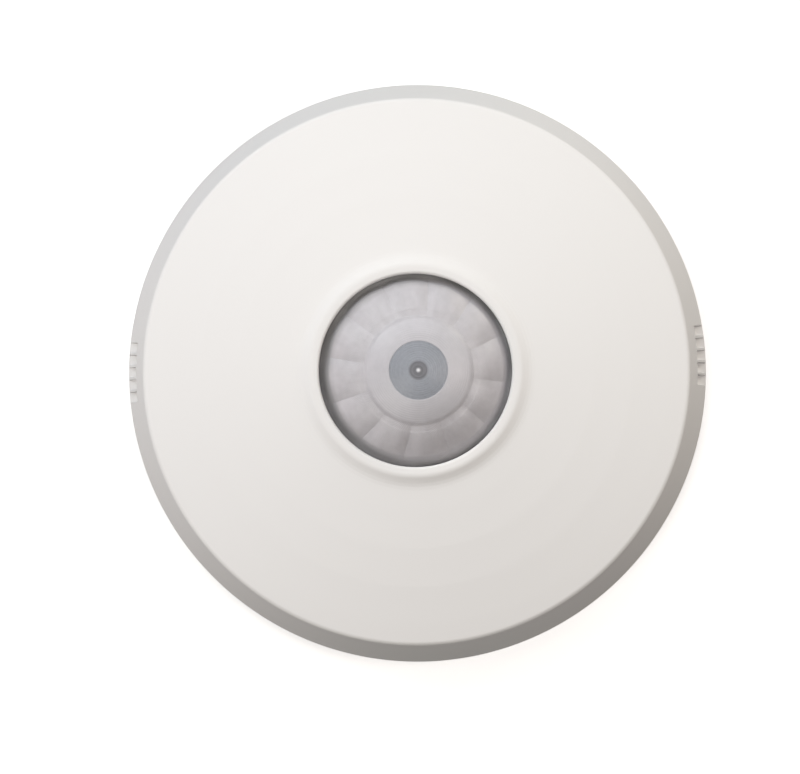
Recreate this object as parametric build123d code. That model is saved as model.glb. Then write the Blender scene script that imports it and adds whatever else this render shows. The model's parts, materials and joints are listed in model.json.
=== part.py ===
from build123d import *
import math
import os

# Round ceiling motion sensor, lying on its back.
# Millimetres. +Z points out of the face, +Y is up the face, and the origin is the middle of the back.

# Overall form
COVER_R = 57.5                 # bottom edge of the cover
COVER_EDGE_R = 53.6            # where the side wall meets the face
COVER_BOTTOM = 3.2
COVER_LAND_TOP = 4.0           # short upright band under the slanted side
COVER_EDGE_Z = 15.2
CROWN_R = 38.5                 # the face bends slightly here
CROWN_Z = 19.3
CROWN_BEND = 230.0
LIP_FOOT_R = 22.3
LIP_FOOT_Z = 22.0
LIP_OUT_R = 20.6
LIP_TOP = 23.1
BORE_R = 18.8                  # opening round the lens
WALL = 2.0
SIDE_WALL = 2.15               # wall of the slanted side, measured level
FOOT_ROUND = 0.25
LAND_ROUND = 0.3
EDGE_ROUND = 1.2
LIP_FOOT_ROUND = 5.0
LIP_OUT_ROUND = 2.0
LIP_ROUND = 0.55
INNER_EDGE_ROUND = 0.8
INNER_FOOT_ROUND = 0.2

# Pocket for the lens, behind the lip
LEDGE_Z = 20.5
POCKET_R = 20.1
COLLAR_R = 21.9
COLLAR_BOTTOM = 18.5

# Grip notches at 3 and 9 o'clock
GRIP_COUNT = 5
GRIP_PITCH = 2.5
GRIP_WIDTH = 2.0
GRIP_FLOOR = 4.3
GRIP_DEPTH_R = 55.5
GRIP_TOP = 9.5
GRIP_MIDDLES = (3.4, 180.0)

# Back base
BASE_R = 57.0
BASE_FLOOR = 2.0
RIM_TOP = 3.0
RIM_IN_R = 55.2
SPIGOT_R = 51.6
SPIGOT_IN_R = 50.0
SPIGOT_TOP = 8.0
BASE_ROUND = 0.5
RIM_ROUND = 0.3
SPIGOT_ROUND = 0.4
BOSS_RIB_THICK = 1.2
BOSS_RIB_LOW = 1.1
BOSS_RIB_TOP = 4.5
RING_RIB_IN_R = 30.0
RING_RIB_R = 31.2
RING_RIB_TOP = 3.8

# Bayonet that holds the cover
TAB_ANGLES = (30.0, 150.0, 270.0)
TAB_WIDTH = 12.0
TAB_ROOT_R = 50.5
TAB_R = 53.2
TAB_LOW = 6.4
TAB_HIGH = 7.8
TWIST = 14.0                   # turn from seated to locked
LUG_WIDTH = 10.0
LUG_IN_R = 51.9
LUG_ROOT_R = 55.6
LUG_LOW = 4.4
LUG_HIGH = 6.2
STOP_ANGLE = 7.5               # stop rib beside each tab
STOP_WIDTH = 2.0

# Fixing slots and wire entry in the back
SLOT_X = 41.5
SLOT_LENGTH = 9.0
SLOT_WIDTH = 4.6
PAD_LENGTH = 14.0
PAD_WIDTH = 9.4
PAD_TOP = 3.0
ENTRY_Y = -42.0
ENTRY_LENGTH = 16.0
ENTRY_WIDTH = 6.0
ENTRY_WALL = 1.2
ENTRY_TOP = 3.4
KNOCKOUT_ANGLES = (60.0, 120.0, 240.0, 300.0)
KNOCKOUT_R = 2.8
KNOCKOUT_GROOVE = 0.6
KNOCKOUT_DEPTH = 1.2

# Circuit board
BOARD_R = 46.0
BOARD_BOTTOM = 5.0
BOARD_TOP = 6.6
BOARD_CHORD_Y = -36.0
NOTCH_X = 34.0
NOTCH_WIDTH = 15.0
NOTCH_ROUND = 3.0
BOARD_SCREW_R = 41.0
BOARD_SCREW_ANGLES = (40.0, 140.0, 230.0, 310.0)
BOSS_R = 3.2
BOSS_HOLE_R = 1.05
BOSS_HOLE_BOTTOM = 1.0
BOARD_HOLE_R = 1.3
PIN_BOTTOM = 3.8               # cut ends of the leads below the board
THICK_PIN_R = 0.5
PIN_R = 0.3
THIN_PIN_R = 0.25
HOLE_PLAY = 0.12
PAST = 1.0                     # how far a cutting shape runs past what it cuts
OVERLAP = 0.2                  # how far a shape that is joined on reaches into its neighbour

# Screws: shares of the head's radius or height
HEAD_ROUND_SHARE = 0.4
RECESS_DEPTH_SHARE = 0.6
RECESS_LENGTH_SHARE = 1.2
RECESS_WIDTH_SHARE = 0.26
SHANK_PLAY = 0.05
TIP_GAP = 0.35
BOARD_HEAD_R = 2.3
BOARD_HEAD = 1.6
RETAINER_HEAD_R = 1.9
RETAINER_HEAD = 1.4

# Lens and its frame
LENS_R = 17.6
LENS_BALL_R = 23.9
LENS_TOP = 28.8
LENS_WALL = 0.9
LENS_FLANGE_R = 19.8
LENS_FLANGE_LOW = 19.6
LENS_FLANGE_HIGH = 20.4
LENS_ZONES = (5.68, 9.95)
ZONE_GROOVE = 0.12
FRAME_LOW = 18.7
FRAME_IN_R = 16.2
LEG_IN_R = 17.3
LEG_OUT_R = 18.6
LEG_BOTTOM = 6.9
LEG_WIDTH = 12.0
LEG_ANGLES = (30.0, 150.0, 270.0)

# Retainer ring and its screws
RETAINER_IN_R = 18.9
RETAINER_R = 22.6
RETAINER_RISER_R = 21.0
RETAINER_LOW = 14.8
RETAINER_PLATE = 1.2
RETAINER_SCREW_R = 25.0
RETAINER_ANGLES = (90.0, 210.0, 330.0)
EAR_R = 3.0
COVER_BOSS_R = 2.5
COVER_BOSS_TOP = 20.4
COVER_BOSS_HOLE_R = 0.85
COVER_HOLE_TOP = 20.0

# Stiffening ribs under the face
RIB_ANGLES = (10.0, 50.0, 130.0, 170.0, 250.0, 290.0)
RIB_THICK = 1.0
RIB_DEPTH = 1.2

# Heat sensor in the middle of the board
SPACER_TOP = 7.4
SPACER_R = 4.3
HEADER_TOP = 8.2
HEADER_R = 4.6
HEADER_TAB_ANGLE = 45.0
HEADER_TAB_LENGTH = 1.4
HEADER_TAB_WIDTH = 0.9
CAN_R = 4.1
CAN_TOP = 11.9
CAN_WALL = 0.3
CAN_ROUND = 0.4
WINDOW_LONG = 4.0
WINDOW_SHORT = 3.0
WINDOW_THICK = 0.5
WINDOW_LEDGE = 0.3
SENSOR_LEAD_CIRCLE = 2.54
SENSOR_LEAD_R = 0.22
SENSOR_LEAD_ANGLES = (0.0, 90.0, 180.0)

# Shroud round the heat sensor
SHROUD_R = 12.0
SHROUD_WALL = 1.0
SHROUD_TOP = 9.6
SHROUD_PAD_R = 20.0
SHROUD_PAD_TOP = 7.8
SHROUD_PAD_WIDTH = 26.0
KEY_PLAY = 0.3

# Indicator
LED_Y = 14.6
LED_R = 1.5
LED_FLANGE_R = 1.9
LED_FLANGE_TOP = 7.6
LED_TOP = 11.6
LED_ROUND = 1.35
LED_LEAD_X = 1.27

# Terminal block
WAYS = 6
WAY_PITCH = 5.08
TERMINAL_Y = -28.0
TERMINAL_DEPTH = 8.0
TERMINAL_TOP = 15.2
TERMINAL_MARGIN = 0.1
TERMINAL_CHAMFER = 0.9
WIRE_WELL_WIDTH = 3.6
WIRE_WELL_LOW = 7.7
WIRE_WELL_TOP = 12.0
WIRE_WELL_BACK = 0.9           # wall left behind the wire well
SCREW_WELL_R = 1.8
CLAMP_WIDTH = 3.3
CLAMP_DEPTH = 4.0
CLAMP_LOW = 7.85
CLAMP_TOP = 11.9
CLAMP_WALL = 0.5
CLAMP_FLOOR = 0.55
CLAMP_ROOF = 0.8
CLAMP_BACK = 0.2
CLAMP_HOLE_R = 1.2
CLAMP_SCREW_HEAD_R = 1.65
CLAMP_SCREW_HEAD_LOW = 12.9
CLAMP_SCREW_TOP = 14.4
CLAMP_SCREW_R = 1.1
CLAMP_SCREW_TIP = 10.4
SCREW_SLOT_WIDTH = 0.5
SCREW_SLOT_DEPTH = 0.7

# Alarm relay
RELAY_X = -19.5
RELAY_Y = 23.4
RELAY_LENGTH = 15.0
RELAY_WIDTH = 7.4
RELAY_LOW = 6.9
RELAY_TOP = 14.2
RELAY_SIDE_ROUND = 0.4
RELAY_TOP_ROUND = 0.3
RELAY_FOOT = 1.0
RELAY_FOOT_INSET = 0.8
RELAY_PIN_PITCH = 5.08
RELAY_PIN_Y = 2.54

# Tamper switch, pressed by a ramp inside the cover
TAMPER_ANGLE = 60.0
TAMPER_RADIUS = 40.0
TAMPER_SIZE = 6.0
TAMPER_TOP = 10.1
TAMPER_CHAMFER = 0.4
TAMPER_PIN_OFFSET = 2.25
PLUNGER_R = 1.5
PLUNGER_BOTTOM = 8.4
CAP_R = 2.6
CAP_LOW = 13.7
CAP_TOP = 15.0
CAP_ROUND = 1.0
STEM_ROUND = 0.3
TAMPER_TRAVEL = 1.0
TAMPER_GAP = 0.35
SPRING_R = 2.15
SPRING_WIRE_R = 0.16
SPRING_TURNS = 5
SPRING_PLAY = 0.02
RAMP_HALF_WIDTH = 2.0
RAMP_END = 8.4
RAMP_ROOT = 17.2

# Range trimmer
TRIMMER_X = -20.0
TRIMMER_Y = 33.5
TRIMMER_SIZE = 6.6
TRIMMER_TOP = 10.6
TRIMMER_CHAMFER = 0.5
TRIMMER_PIN_X = 2.5
TRIMMER_PIN_Y = 1.5
ROTOR_R = 2.2
ROTOR_LOW = 9.7
ROTOR_TOP = 11.2
ROTOR_PLAY = 0.2
ROTOR_FLOOR_GAP = 0.1
ROTOR_SLOT_LENGTH = 2.8
ROTOR_SLOT_WIDTH = 0.6
ROTOR_SLOT_DEPTH = 0.6
POINTER_WIDTH = 1.0
POINTER_DEPTH = 0.4
POINTER_STEP = 1.0

# Option switch
OPTION_Y = 35.0
OPTION_LENGTH = 9.2
OPTION_WIDTH = 6.2
OPTION_TOP = 10.0
OPTION_COUNT = 3
OPTION_PITCH = 2.54
OPTION_PIN_Y = 2.3
OPTION_CHAMFER = 0.25
OPTION_SLOT_WIDTH = 1.6
OPTION_SLOT_FLOOR = 8.8
SLIDER_TRAVEL = 1.2
SLIDER_WIDTH = 1.2
SLIDER_LOW = 8.9
SLIDER_TOP = 10.9
SLIDER_HALF = 0.55
SLIDER_PLAY = 0.2
SLIDER_CHAMFER = 0.15

# Surge varistor
VARISTOR_X = -22.0
VARISTOR_Y = -23.6
VARISTOR_R = 3.6
VARISTOR_THICK = 3.0
VARISTOR_TURN = 35.0
VARISTOR_ROUND = 0.9
VARISTOR_LIFT = 0.3
VARISTOR_LEAD_OFFSET = 2.5

# Electrolytic capacitors: centre x and y, radius, height
CAPACITORS = (
    (31.5, 13.6, 3.15, 7.2),
    (24.5, 20.0, 3.15, 7.2),
    (-33.0, 13.6, 3.15, 7.2),
    (33.5, -12.5, 2.5, 5.4),
)
CAPACITOR_LEAD_OFFSET = 1.25
CAPACITOR_ROUND = 0.5
CRIMP_HEIGHT = 1.3
CRIMP_R = 0.35
CRIMP_OFFSET = 0.1

# Chips with leads: centre x and y, width, length, top, leads on each side
MICROCONTROLLER = (27.5, 0.0, 7.5, 12.8, 9.0, 10)
AMPLIFIER = (-26.5, 0.0, 3.9, 8.65, 8.3, 7)
CHIP_LEAD_PITCH = 1.27
CHIP_STANDOFF = 0.15
CHIP_CHAMFER = 0.2
DIMPLE_R = 0.4
DIMPLE_INSET = 0.9
DIMPLE_DEPTH = 0.15
GULL_WIDTH = 0.4
GULL_THICK = 0.2
GULL_TOP = 7.7
GULL_SHOULDER = 0.5
GULL_REACH = 1.4

# Voltage regulator
REGULATOR_X = 22.0
REGULATOR_Y = -18.6
REGULATOR_LENGTH = 6.5
REGULATOR_WIDTH = 3.5
REGULATOR_LIFT = 0.05
REGULATOR_HEIGHT = 1.65
REGULATOR_CHAMFER = 0.25
REGULATOR_FOOT_THICK = 0.3
REGULATOR_FOOT_REACH = 1.5
REGULATOR_TAB_WIDTH = 3.0
REGULATOR_LEG_WIDTH = 0.7
REGULATOR_LEG_PITCH = 2.3

# Rectifier diodes: centre x and y, turn
DIODES = ((31.5, -19.5, 60.0), (26.3, -24.6, 20.0), (-31.0, -18.0, 120.0))
DIODE_LENGTH = 4.3
DIODE_WIDTH = 2.6
DIODE_LIFT = 0.1
DIODE_HEIGHT = 2.2
DIODE_CHAMFER = 0.3
DIODE_END_LENGTH = 1.2
DIODE_END_WIDTH = 1.5
DIODE_END_THICK = 0.4
DIODE_END_X = 2.2

# Chip resistors and capacitors, as circles of a radius and angles
RESISTOR_SIZE = (2.0, 1.25, 0.5)
RESISTOR_RINGS = (
    (14.6, (60, 72, 108, 120, 180, 192, 204, 216, 228, 240, 312, 324, 336, 348, 0)),
    (36.5, (150, 190, 196, 202, 346, 70, 78, 102, 108)),
)
CHIP_CAPACITOR_SIZE = (2.0, 1.3, 1.1)
CHIP_CAPACITOR_RINGS = (
    (21.2, (46, 56, 66, 170, 180, 190, 200, 336, 346)),
    (41.5, (76, 104, 152, 160, 200, 208, 333, 341)),
)


def polar(radius, angle, z=0.0):
    """Point at a radius and an angle in degrees."""
    turn = math.radians(angle)
    return (radius * math.cos(turn), radius * math.sin(turn), z)


def block(x, y, length, width, z_low, z_high):
    """Upright box centred on x, y."""
    return Pos(x, y, (z_low + z_high) / 2) * Box(length, width, z_high - z_low)


def disc(x, y, radius, z_low, z_high):
    """Upright cylinder centred on x, y."""
    return Pos(x, y, (z_low + z_high) / 2) * Cylinder(radius, z_high - z_low)


def ring(r_in, r_out, z_low, z_high):
    """Flat ring about the Z axis."""
    return disc(0, 0, r_out, z_low, z_high) - disc(0, 0, r_in, z_low - PAST, z_high + PAST)


def turned(corners):
    """Solid of revolution of an outline of radius, height and corner rounding."""
    points = [corner[:2] for corner in corners]
    rounds = [corner[2] for corner in corners]
    return revolve(Plane.XZ * make_face(FilletPolyline(*points, radius=rounds, close=True)), Axis.Z)


def sector(r_in, r_out, z_low, z_high, middle, width):
    """Piece of a ring that spans a width in degrees about a middle angle."""
    outline = Polyline((r_in, z_low), (r_out, z_low), (r_out, z_high), (r_in, z_high), close=True)
    return Rot(0, 0, middle - width / 2) * revolve(Plane.XZ * make_face(outline), Axis.Z, width)


def fused(first, others):
    """One solid from a first solid and those that join it."""
    return first.fuse(*others).clean()


def side_radius(z):
    """Outer radius of the slanted side wall at a height."""
    share = (z - COVER_LAND_TOP) / (COVER_EDGE_Z - COVER_LAND_TOP)
    return COVER_R - share * (COVER_R - COVER_EDGE_R)


def round_slot(x, y, length, width, z_low, z_high):
    """Upright slot with round ends, long along X."""
    return Pos(x, y, z_low) * extrude(SlotOverall(length, width), z_high - z_low)


# Cover

def cover_shell():
    """Turned shell: slanted side, shallow face, raised lip and lens pocket."""
    return turned([
        (COVER_R, COVER_BOTTOM, FOOT_ROUND),
        (COVER_R, COVER_LAND_TOP, LAND_ROUND),
        (COVER_EDGE_R, COVER_EDGE_Z, EDGE_ROUND),
        (CROWN_R, CROWN_Z, CROWN_BEND),
        (LIP_FOOT_R, LIP_FOOT_Z, LIP_FOOT_ROUND),
        (LIP_OUT_R, LIP_TOP, LIP_OUT_ROUND),
        (BORE_R, LIP_TOP, LIP_ROUND),
        (BORE_R, LEDGE_Z, 0),
        (POCKET_R, LEDGE_Z, 0),
        (POCKET_R, COLLAR_BOTTOM, 0),
        (COLLAR_R, COLLAR_BOTTOM, 0),
        (COLLAR_R, LIP_FOOT_Z - WALL, 0),
        (CROWN_R - WALL / 4, CROWN_Z - WALL, CROWN_BEND),
        (side_radius(COVER_EDGE_Z - WALL) - SIDE_WALL, COVER_EDGE_Z - WALL, INNER_EDGE_ROUND),
        (COVER_R - SIDE_WALL, COVER_LAND_TOP, 0),
        (COVER_R - SIDE_WALL, COVER_BOTTOM, INNER_FOOT_ROUND),
    ])


def grip_notches():
    """Short upright notches cut into the lower half of the side wall."""
    step = math.degrees(GRIP_PITCH / COVER_R)
    width = math.degrees(GRIP_WIDTH / COVER_R)
    cuts = []
    for middle in GRIP_MIDDLES:
        for index in range(GRIP_COUNT):
            angle = middle + (index - (GRIP_COUNT - 1) / 2) * step
            cuts.append(sector(GRIP_DEPTH_R, COVER_R + PAST, GRIP_FLOOR, GRIP_TOP, angle, width))
    return cuts


def bayonet_lugs():
    """Inward lugs that stand beside the base's tabs until the cover is twisted."""
    return [sector(LUG_IN_R, LUG_ROOT_R, LUG_LOW, LUG_HIGH, a + TWIST, LUG_WIDTH) for a in TAB_ANGLES]


def face_ribs():
    """Low radial ribs under the face."""
    outline = Polyline(
        (COLLAR_R - OVERLAP, LIP_FOOT_Z - WALL / 2),
        (COLLAR_R - OVERLAP, LIP_FOOT_Z - WALL - RIB_DEPTH),
        (CROWN_R, CROWN_Z - WALL - RIB_DEPTH),
        (COVER_EDGE_R - 2 * WALL, COVER_EDGE_Z - WALL - RIB_DEPTH / 3),
        (COVER_EDGE_R - 2 * WALL, COVER_EDGE_Z - WALL / 2),
        (CROWN_R, CROWN_Z - WALL / 2),
        close=True,
    )
    rib = extrude(Plane.XZ * make_face(outline), RIB_THICK / 2, both=True)
    return [Rot(0, 0, angle) * rib for angle in RIB_ANGLES]


def tamper_ramp():
    """Ramp under the face that presses the tamper plunger as the cover is twisted shut."""
    middle = TAMPER_ANGLE + TWIST / 2
    reach = TAMPER_RADIUS * math.sin(math.radians(TWIST / 2))
    high = CAP_TOP + TAMPER_GAP
    low = high - TAMPER_TRAVEL
    outline = Polyline(
        (-RAMP_END, RAMP_ROOT),
        (-RAMP_END, high + TAMPER_GAP),
        (-reach, high),
        (reach, low),
        (RAMP_END, low),
        (RAMP_END, RAMP_ROOT),
        close=True,
    )
    tangent = polar(1, middle + 90)
    outward = polar(1, middle)
    start = polar(TAMPER_RADIUS - RAMP_HALF_WIDTH, middle)
    return extrude(Plane(start, x_dir=tangent, z_dir=outward) * make_face(outline), 2 * RAMP_HALF_WIDTH)


def front_cover():
    """Moulded cover with everything that is one piece with it."""
    bosses = []
    holes = []
    for angle in RETAINER_ANGLES:
        x, y, _ = polar(RETAINER_SCREW_R, angle)
        bosses.append(disc(x, y, COVER_BOSS_R, RETAINER_LOW + RETAINER_PLATE, COVER_BOSS_TOP))
        holes.append(disc(x, y, COVER_BOSS_HOLE_R, RETAINER_LOW, COVER_HOLE_TOP))
    body = fused(cover_shell(), bayonet_lugs() + face_ribs() + bosses + [tamper_ramp()])
    return body.cut(*holes, *grip_notches())


def lens_retainer():
    """Stepped ring screwed behind the lens frame, which still turns freely in it."""
    plate_top = RETAINER_LOW + RETAINER_PLATE
    plate = disc(0, 0, RETAINER_R, RETAINER_LOW, plate_top)
    ears = []
    holes = [disc(0, 0, RETAINER_IN_R, RETAINER_LOW - PAST, COLLAR_BOTTOM + PAST)]
    for angle in RETAINER_ANGLES:
        x, y, _ = polar(RETAINER_SCREW_R, angle)
        ears.append(disc(x, y, EAR_R, RETAINER_LOW, plate_top))
        holes.append(disc(x, y, COVER_BOSS_HOLE_R + HOLE_PLAY, RETAINER_LOW - PAST, plate_top + PAST))
    riser = disc(0, 0, RETAINER_RISER_R, RETAINER_LOW, COLLAR_BOTTOM)
    return fused(plate, ears + [riser]).cut(*holes)


def cross_screw(head_r, seat, head_height, shank_r, tip):
    """Pan-head screw with a cross recess. The head lies on the far side of its seat from the tip."""
    side = 1 if tip < seat else -1
    outer = seat + side * head_height
    head = disc(0, 0, head_r, min(seat, outer), max(seat, outer))
    head = fillet(head.edges().sort_by(Axis.Z)[-1 if side > 0 else 0], head_height * HEAD_ROUND_SHARE)
    shank = disc(0, 0, shank_r, min(tip, seat), max(tip, seat))
    length, width = head_r * RECESS_LENGTH_SHARE, head_r * RECESS_WIDTH_SHARE
    depth = head_height * RECESS_DEPTH_SHARE
    cuts = [Pos(0, 0, outer) * Box(*size, 2 * depth) for size in ((length, width), (width, length))]
    return (head + shank).cut(*cuts)


def retainer_screws():
    """Three screws that go up into the cover's bosses."""
    shank_r = COVER_BOSS_HOLE_R - SHANK_PLAY
    screw = cross_screw(RETAINER_HEAD_R, RETAINER_LOW, RETAINER_HEAD, shank_r, COVER_HOLE_TOP - TIP_GAP)
    return Compound([Pos(*polar(RETAINER_SCREW_R, angle)) * screw for angle in RETAINER_ANGLES])


# Lens

def fresnel_lens():
    """Thin domed lens with a skirt, a flange and two shallow grooves between its zones."""
    centre_z = LENS_TOP - LENS_BALL_R
    outside = disc(0, 0, LENS_R, LENS_FLANGE_LOW, LENS_TOP) & Pos(0, 0, centre_z) * Sphere(LENS_BALL_R)
    inside = disc(0, 0, LENS_R - LENS_WALL, LENS_FLANGE_LOW - PAST, LENS_TOP)
    inside = inside & Pos(0, 0, centre_z) * Sphere(LENS_BALL_R - LENS_WALL)
    lens = fused(outside, [disc(0, 0, LENS_FLANGE_R, LENS_FLANGE_LOW, LENS_FLANGE_HIGH)])
    grooves = []
    for zone_r in LENS_ZONES:
        zone_z = centre_z + math.sqrt(LENS_BALL_R ** 2 - zone_r ** 2)
        grooves.append(Pos(0, 0, zone_z) * Torus(zone_r, ZONE_GROOVE))
    return lens.cut(inside, *grooves)


def lens_frame():
    """Ring under the lens flange with three legs keyed into the shroud on the board."""
    hoop = ring(FRAME_IN_R, LENS_FLANGE_R, FRAME_LOW, LENS_FLANGE_LOW)
    legs = [sector(LEG_IN_R, LEG_OUT_R, LEG_BOTTOM, FRAME_LOW + OVERLAP, a, LEG_WIDTH) for a in LEG_ANGLES]
    return fused(hoop, legs)


# Base

def base_plate():
    """Turned dish: floor, outer rim and the upright wall that the cover fits round."""
    return turned([
        (0, 0, 0),
        (BASE_R, 0, BASE_ROUND),
        (BASE_R, RIM_TOP, RIM_ROUND),
        (RIM_IN_R, RIM_TOP, 0),
        (RIM_IN_R, BASE_FLOOR, 0),
        (SPIGOT_R, BASE_FLOOR, 0),
        (SPIGOT_R, SPIGOT_TOP, SPIGOT_ROUND),
        (SPIGOT_IN_R, SPIGOT_TOP, SPIGOT_ROUND),
        (SPIGOT_IN_R, BASE_FLOOR, 0),
        (0, BASE_FLOOR, 0),
    ])


def base_additions():
    """Bayonet tabs and stops, bosses, ribs, pads and the wire entry's rim."""
    parts = [sector(TAB_ROOT_R, TAB_R, TAB_LOW, TAB_HIGH, a, TAB_WIDTH) for a in TAB_ANGLES]
    for angle in TAB_ANGLES:
        parts.append(sector(TAB_ROOT_R, TAB_R, LUG_LOW, TAB_HIGH, angle - STOP_ANGLE, STOP_WIDTH))
    for angle in BOARD_SCREW_ANGLES:
        x, y, _ = polar(BOARD_SCREW_R, angle)
        parts.append(disc(x, y, BOSS_R, BASE_FLOOR / 2, BOARD_BOTTOM))
        length = TAB_ROOT_R - BOARD_SCREW_R
        rib = block(BOARD_SCREW_R + length / 2, 0, length, BOSS_RIB_THICK, BOSS_RIB_LOW, BOSS_RIB_TOP)
        parts.append(Rot(0, 0, angle) * rib)
    parts.append(ring(RING_RIB_IN_R, RING_RIB_R, BASE_FLOOR / 2, RING_RIB_TOP))
    for side in (-1, 1):
        parts.append(round_slot(side * SLOT_X, 0, PAD_LENGTH, PAD_WIDTH, BASE_FLOOR / 2, PAD_TOP))
    entry_length = ENTRY_LENGTH + 2 * ENTRY_WALL
    entry_width = ENTRY_WIDTH + 2 * ENTRY_WALL
    parts.append(round_slot(0, ENTRY_Y, entry_length, entry_width, BASE_FLOOR / 2, ENTRY_TOP))
    return parts


def base_cuts():
    """Fixing slots, wire entry, screw holes and knock-out grooves."""
    cuts = [round_slot(side * SLOT_X, 0, SLOT_LENGTH, SLOT_WIDTH, -PAST, PAD_TOP + PAST) for side in (-1, 1)]
    cuts.append(round_slot(0, ENTRY_Y, ENTRY_LENGTH, ENTRY_WIDTH, -PAST, ENTRY_TOP + PAST))
    for angle in BOARD_SCREW_ANGLES:
        x, y, _ = polar(BOARD_SCREW_R, angle)
        cuts.append(disc(x, y, BOSS_HOLE_R, BOSS_HOLE_BOTTOM, BOARD_BOTTOM + PAST))
    groove_bottom = BASE_FLOOR - KNOCKOUT_DEPTH
    groove = ring(KNOCKOUT_R - KNOCKOUT_GROOVE, KNOCKOUT_R, groove_bottom, BASE_FLOOR + PAST)
    cuts += [Pos(*polar(SLOT_X, angle)) * groove for angle in KNOCKOUT_ANGLES]
    return cuts


def back_base():
    """Moulded base that is screwed to the ceiling."""
    return fused(base_plate(), base_additions()).cut(*base_cuts())


# Board and what holds it

def terminal_xs():
    """Centres of the terminal ways along X."""
    return [(index - (WAYS - 1) / 2) * WAY_PITCH for index in range(WAYS)]


def lead_places():
    """Centre and radius of every lead that goes through the board."""
    places = terminal_pin_places() + pyro_places() + led_lead_places() + relay_pin_places()
    places += tamper_pin_places() + capacitor_lead_places() + trimmer_pin_places()
    return places + option_pin_places() + varistor_lead_places()


def terminal_pin_places():
    """One pin under each terminal way."""
    return [(x, TERMINAL_Y, THICK_PIN_R) for x in terminal_xs()]


def pyro_places():
    """Three sensor leads on a circle."""
    return [(*polar(SENSOR_LEAD_CIRCLE, angle)[:2], SENSOR_LEAD_R) for angle in SENSOR_LEAD_ANGLES]


def led_lead_places():
    """Two leads of the indicator."""
    return [(side * LED_LEAD_X, LED_Y, THIN_PIN_R) for side in (-1, 1)]


def relay_pin_places():
    """Two rows of relay pins."""
    places = []
    for i in (-1, 0, 1):
        for j in (-1, 1):
            places.append((RELAY_X + i * RELAY_PIN_PITCH, RELAY_Y + j * RELAY_PIN_Y, PIN_R))
    return places


def tamper_pin_places():
    """Four corner pins of the tamper switch."""
    x, y, _ = polar(TAMPER_RADIUS, TAMPER_ANGLE)
    return [(x + i * TAMPER_PIN_OFFSET, y + j * TAMPER_PIN_OFFSET, PIN_R) for i in (-1, 1) for j in (-1, 1)]


def capacitor_lead_places():
    """Two leads under each electrolytic capacitor."""
    places = []
    for x, y, _, _ in CAPACITORS:
        for side in (-1, 1):
            places.append((x + side * CAPACITOR_LEAD_OFFSET, y, THIN_PIN_R))
    return places


def trimmer_pin_places():
    """Three pins of the trimmer."""
    corners = ((-1, -1), (0, 1), (1, -1))
    return [(TRIMMER_X + i * TRIMMER_PIN_X, TRIMMER_Y + j * TRIMMER_PIN_Y, THIN_PIN_R) for i, j in corners]


def option_pin_places():
    """Two rows of option switch pins."""
    return [(x, OPTION_Y + j * OPTION_PIN_Y, THIN_PIN_R) for x in option_xs() for j in (-1, 1)]


def option_xs():
    """Centres of the option sliders along X."""
    return [(index - (OPTION_COUNT - 1) / 2) * OPTION_PITCH for index in range(OPTION_COUNT)]


def leads(places, top):
    """Straight leads from below the board up to a height."""
    return Compound([disc(x, y, radius, PIN_BOTTOM, top) for x, y, radius in places])


def circuit_board():
    """Round board with notches over the fixing slots and a straight edge by the wire entry."""
    outline = Circle(BOARD_R) - Pos(0, BOARD_CHORD_Y - BOARD_R) * Rectangle(2 * BOARD_R, 2 * BOARD_R)
    for side in (-1, 1):
        notch = RectangleRounded(2 * (BOARD_R - NOTCH_X), NOTCH_WIDTH, NOTCH_ROUND)
        outline -= Pos(side * BOARD_R, 0) * notch
    for angle in BOARD_SCREW_ANGLES:
        x, y, _ = polar(BOARD_SCREW_R, angle)
        outline -= Pos(x, y) * Circle(BOARD_HOLE_R)
    for x, y, radius in lead_places():
        outline -= Pos(x, y) * Circle(radius + HOLE_PLAY)
    return Pos(0, 0, BOARD_BOTTOM) * extrude(outline, BOARD_TOP - BOARD_BOTTOM)


def board_screws():
    """Four screws that hold the board to the base."""
    shank_r = BOSS_HOLE_R - SHANK_PLAY
    tip = BOSS_HOLE_BOTTOM + TIP_GAP
    screw = cross_screw(BOARD_HEAD_R, BOARD_TOP, BOARD_HEAD, shank_r, tip)
    return Compound([Pos(*polar(BOARD_SCREW_R, angle)) * screw for angle in BOARD_SCREW_ANGLES])


# Heat sensor

def lead_holes(places, z_low, z_high):
    """Clearance holes for leads."""
    return [disc(x, y, radius + HOLE_PLAY, z_low - PAST, z_high + PAST) for x, y, radius in places]


def pyro_spacer():
    """Plastic washer between the sensor and the board."""
    washer = disc(0, 0, SPACER_R, BOARD_TOP, SPACER_TOP)
    return washer.cut(*lead_holes(pyro_places(), BOARD_TOP, SPACER_TOP))


def pyro_header():
    """Metal header flange with its small locating tab."""
    tab = block(HEADER_R + CAN_WALL, 0, HEADER_TAB_LENGTH, HEADER_TAB_WIDTH, SPACER_TOP, HEADER_TOP)
    return fused(disc(0, 0, HEADER_R, SPACER_TOP, HEADER_TOP), [Rot(0, 0, HEADER_TAB_ANGLE) * tab])


def pyro_can():
    """Thin metal can with a rectangular window opening."""
    can = disc(0, 0, CAN_R, HEADER_TOP, CAN_TOP)
    can = fillet(can.edges().sort_by(Axis.Z)[-1], CAN_ROUND)
    hollow = disc(0, 0, CAN_R - CAN_WALL, HEADER_TOP - PAST, CAN_TOP - CAN_WALL)
    length, width = WINDOW_LONG - 2 * WINDOW_LEDGE, WINDOW_SHORT - 2 * WINDOW_LEDGE
    window = block(0, 0, length, width, HEADER_TOP, CAN_TOP + PAST)
    return can.cut(hollow, window)


def pyro_window():
    """Filter window behind the can's opening."""
    top = CAN_TOP - CAN_WALL
    return block(0, 0, WINDOW_LONG, WINDOW_SHORT, top - WINDOW_THICK, top)


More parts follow.
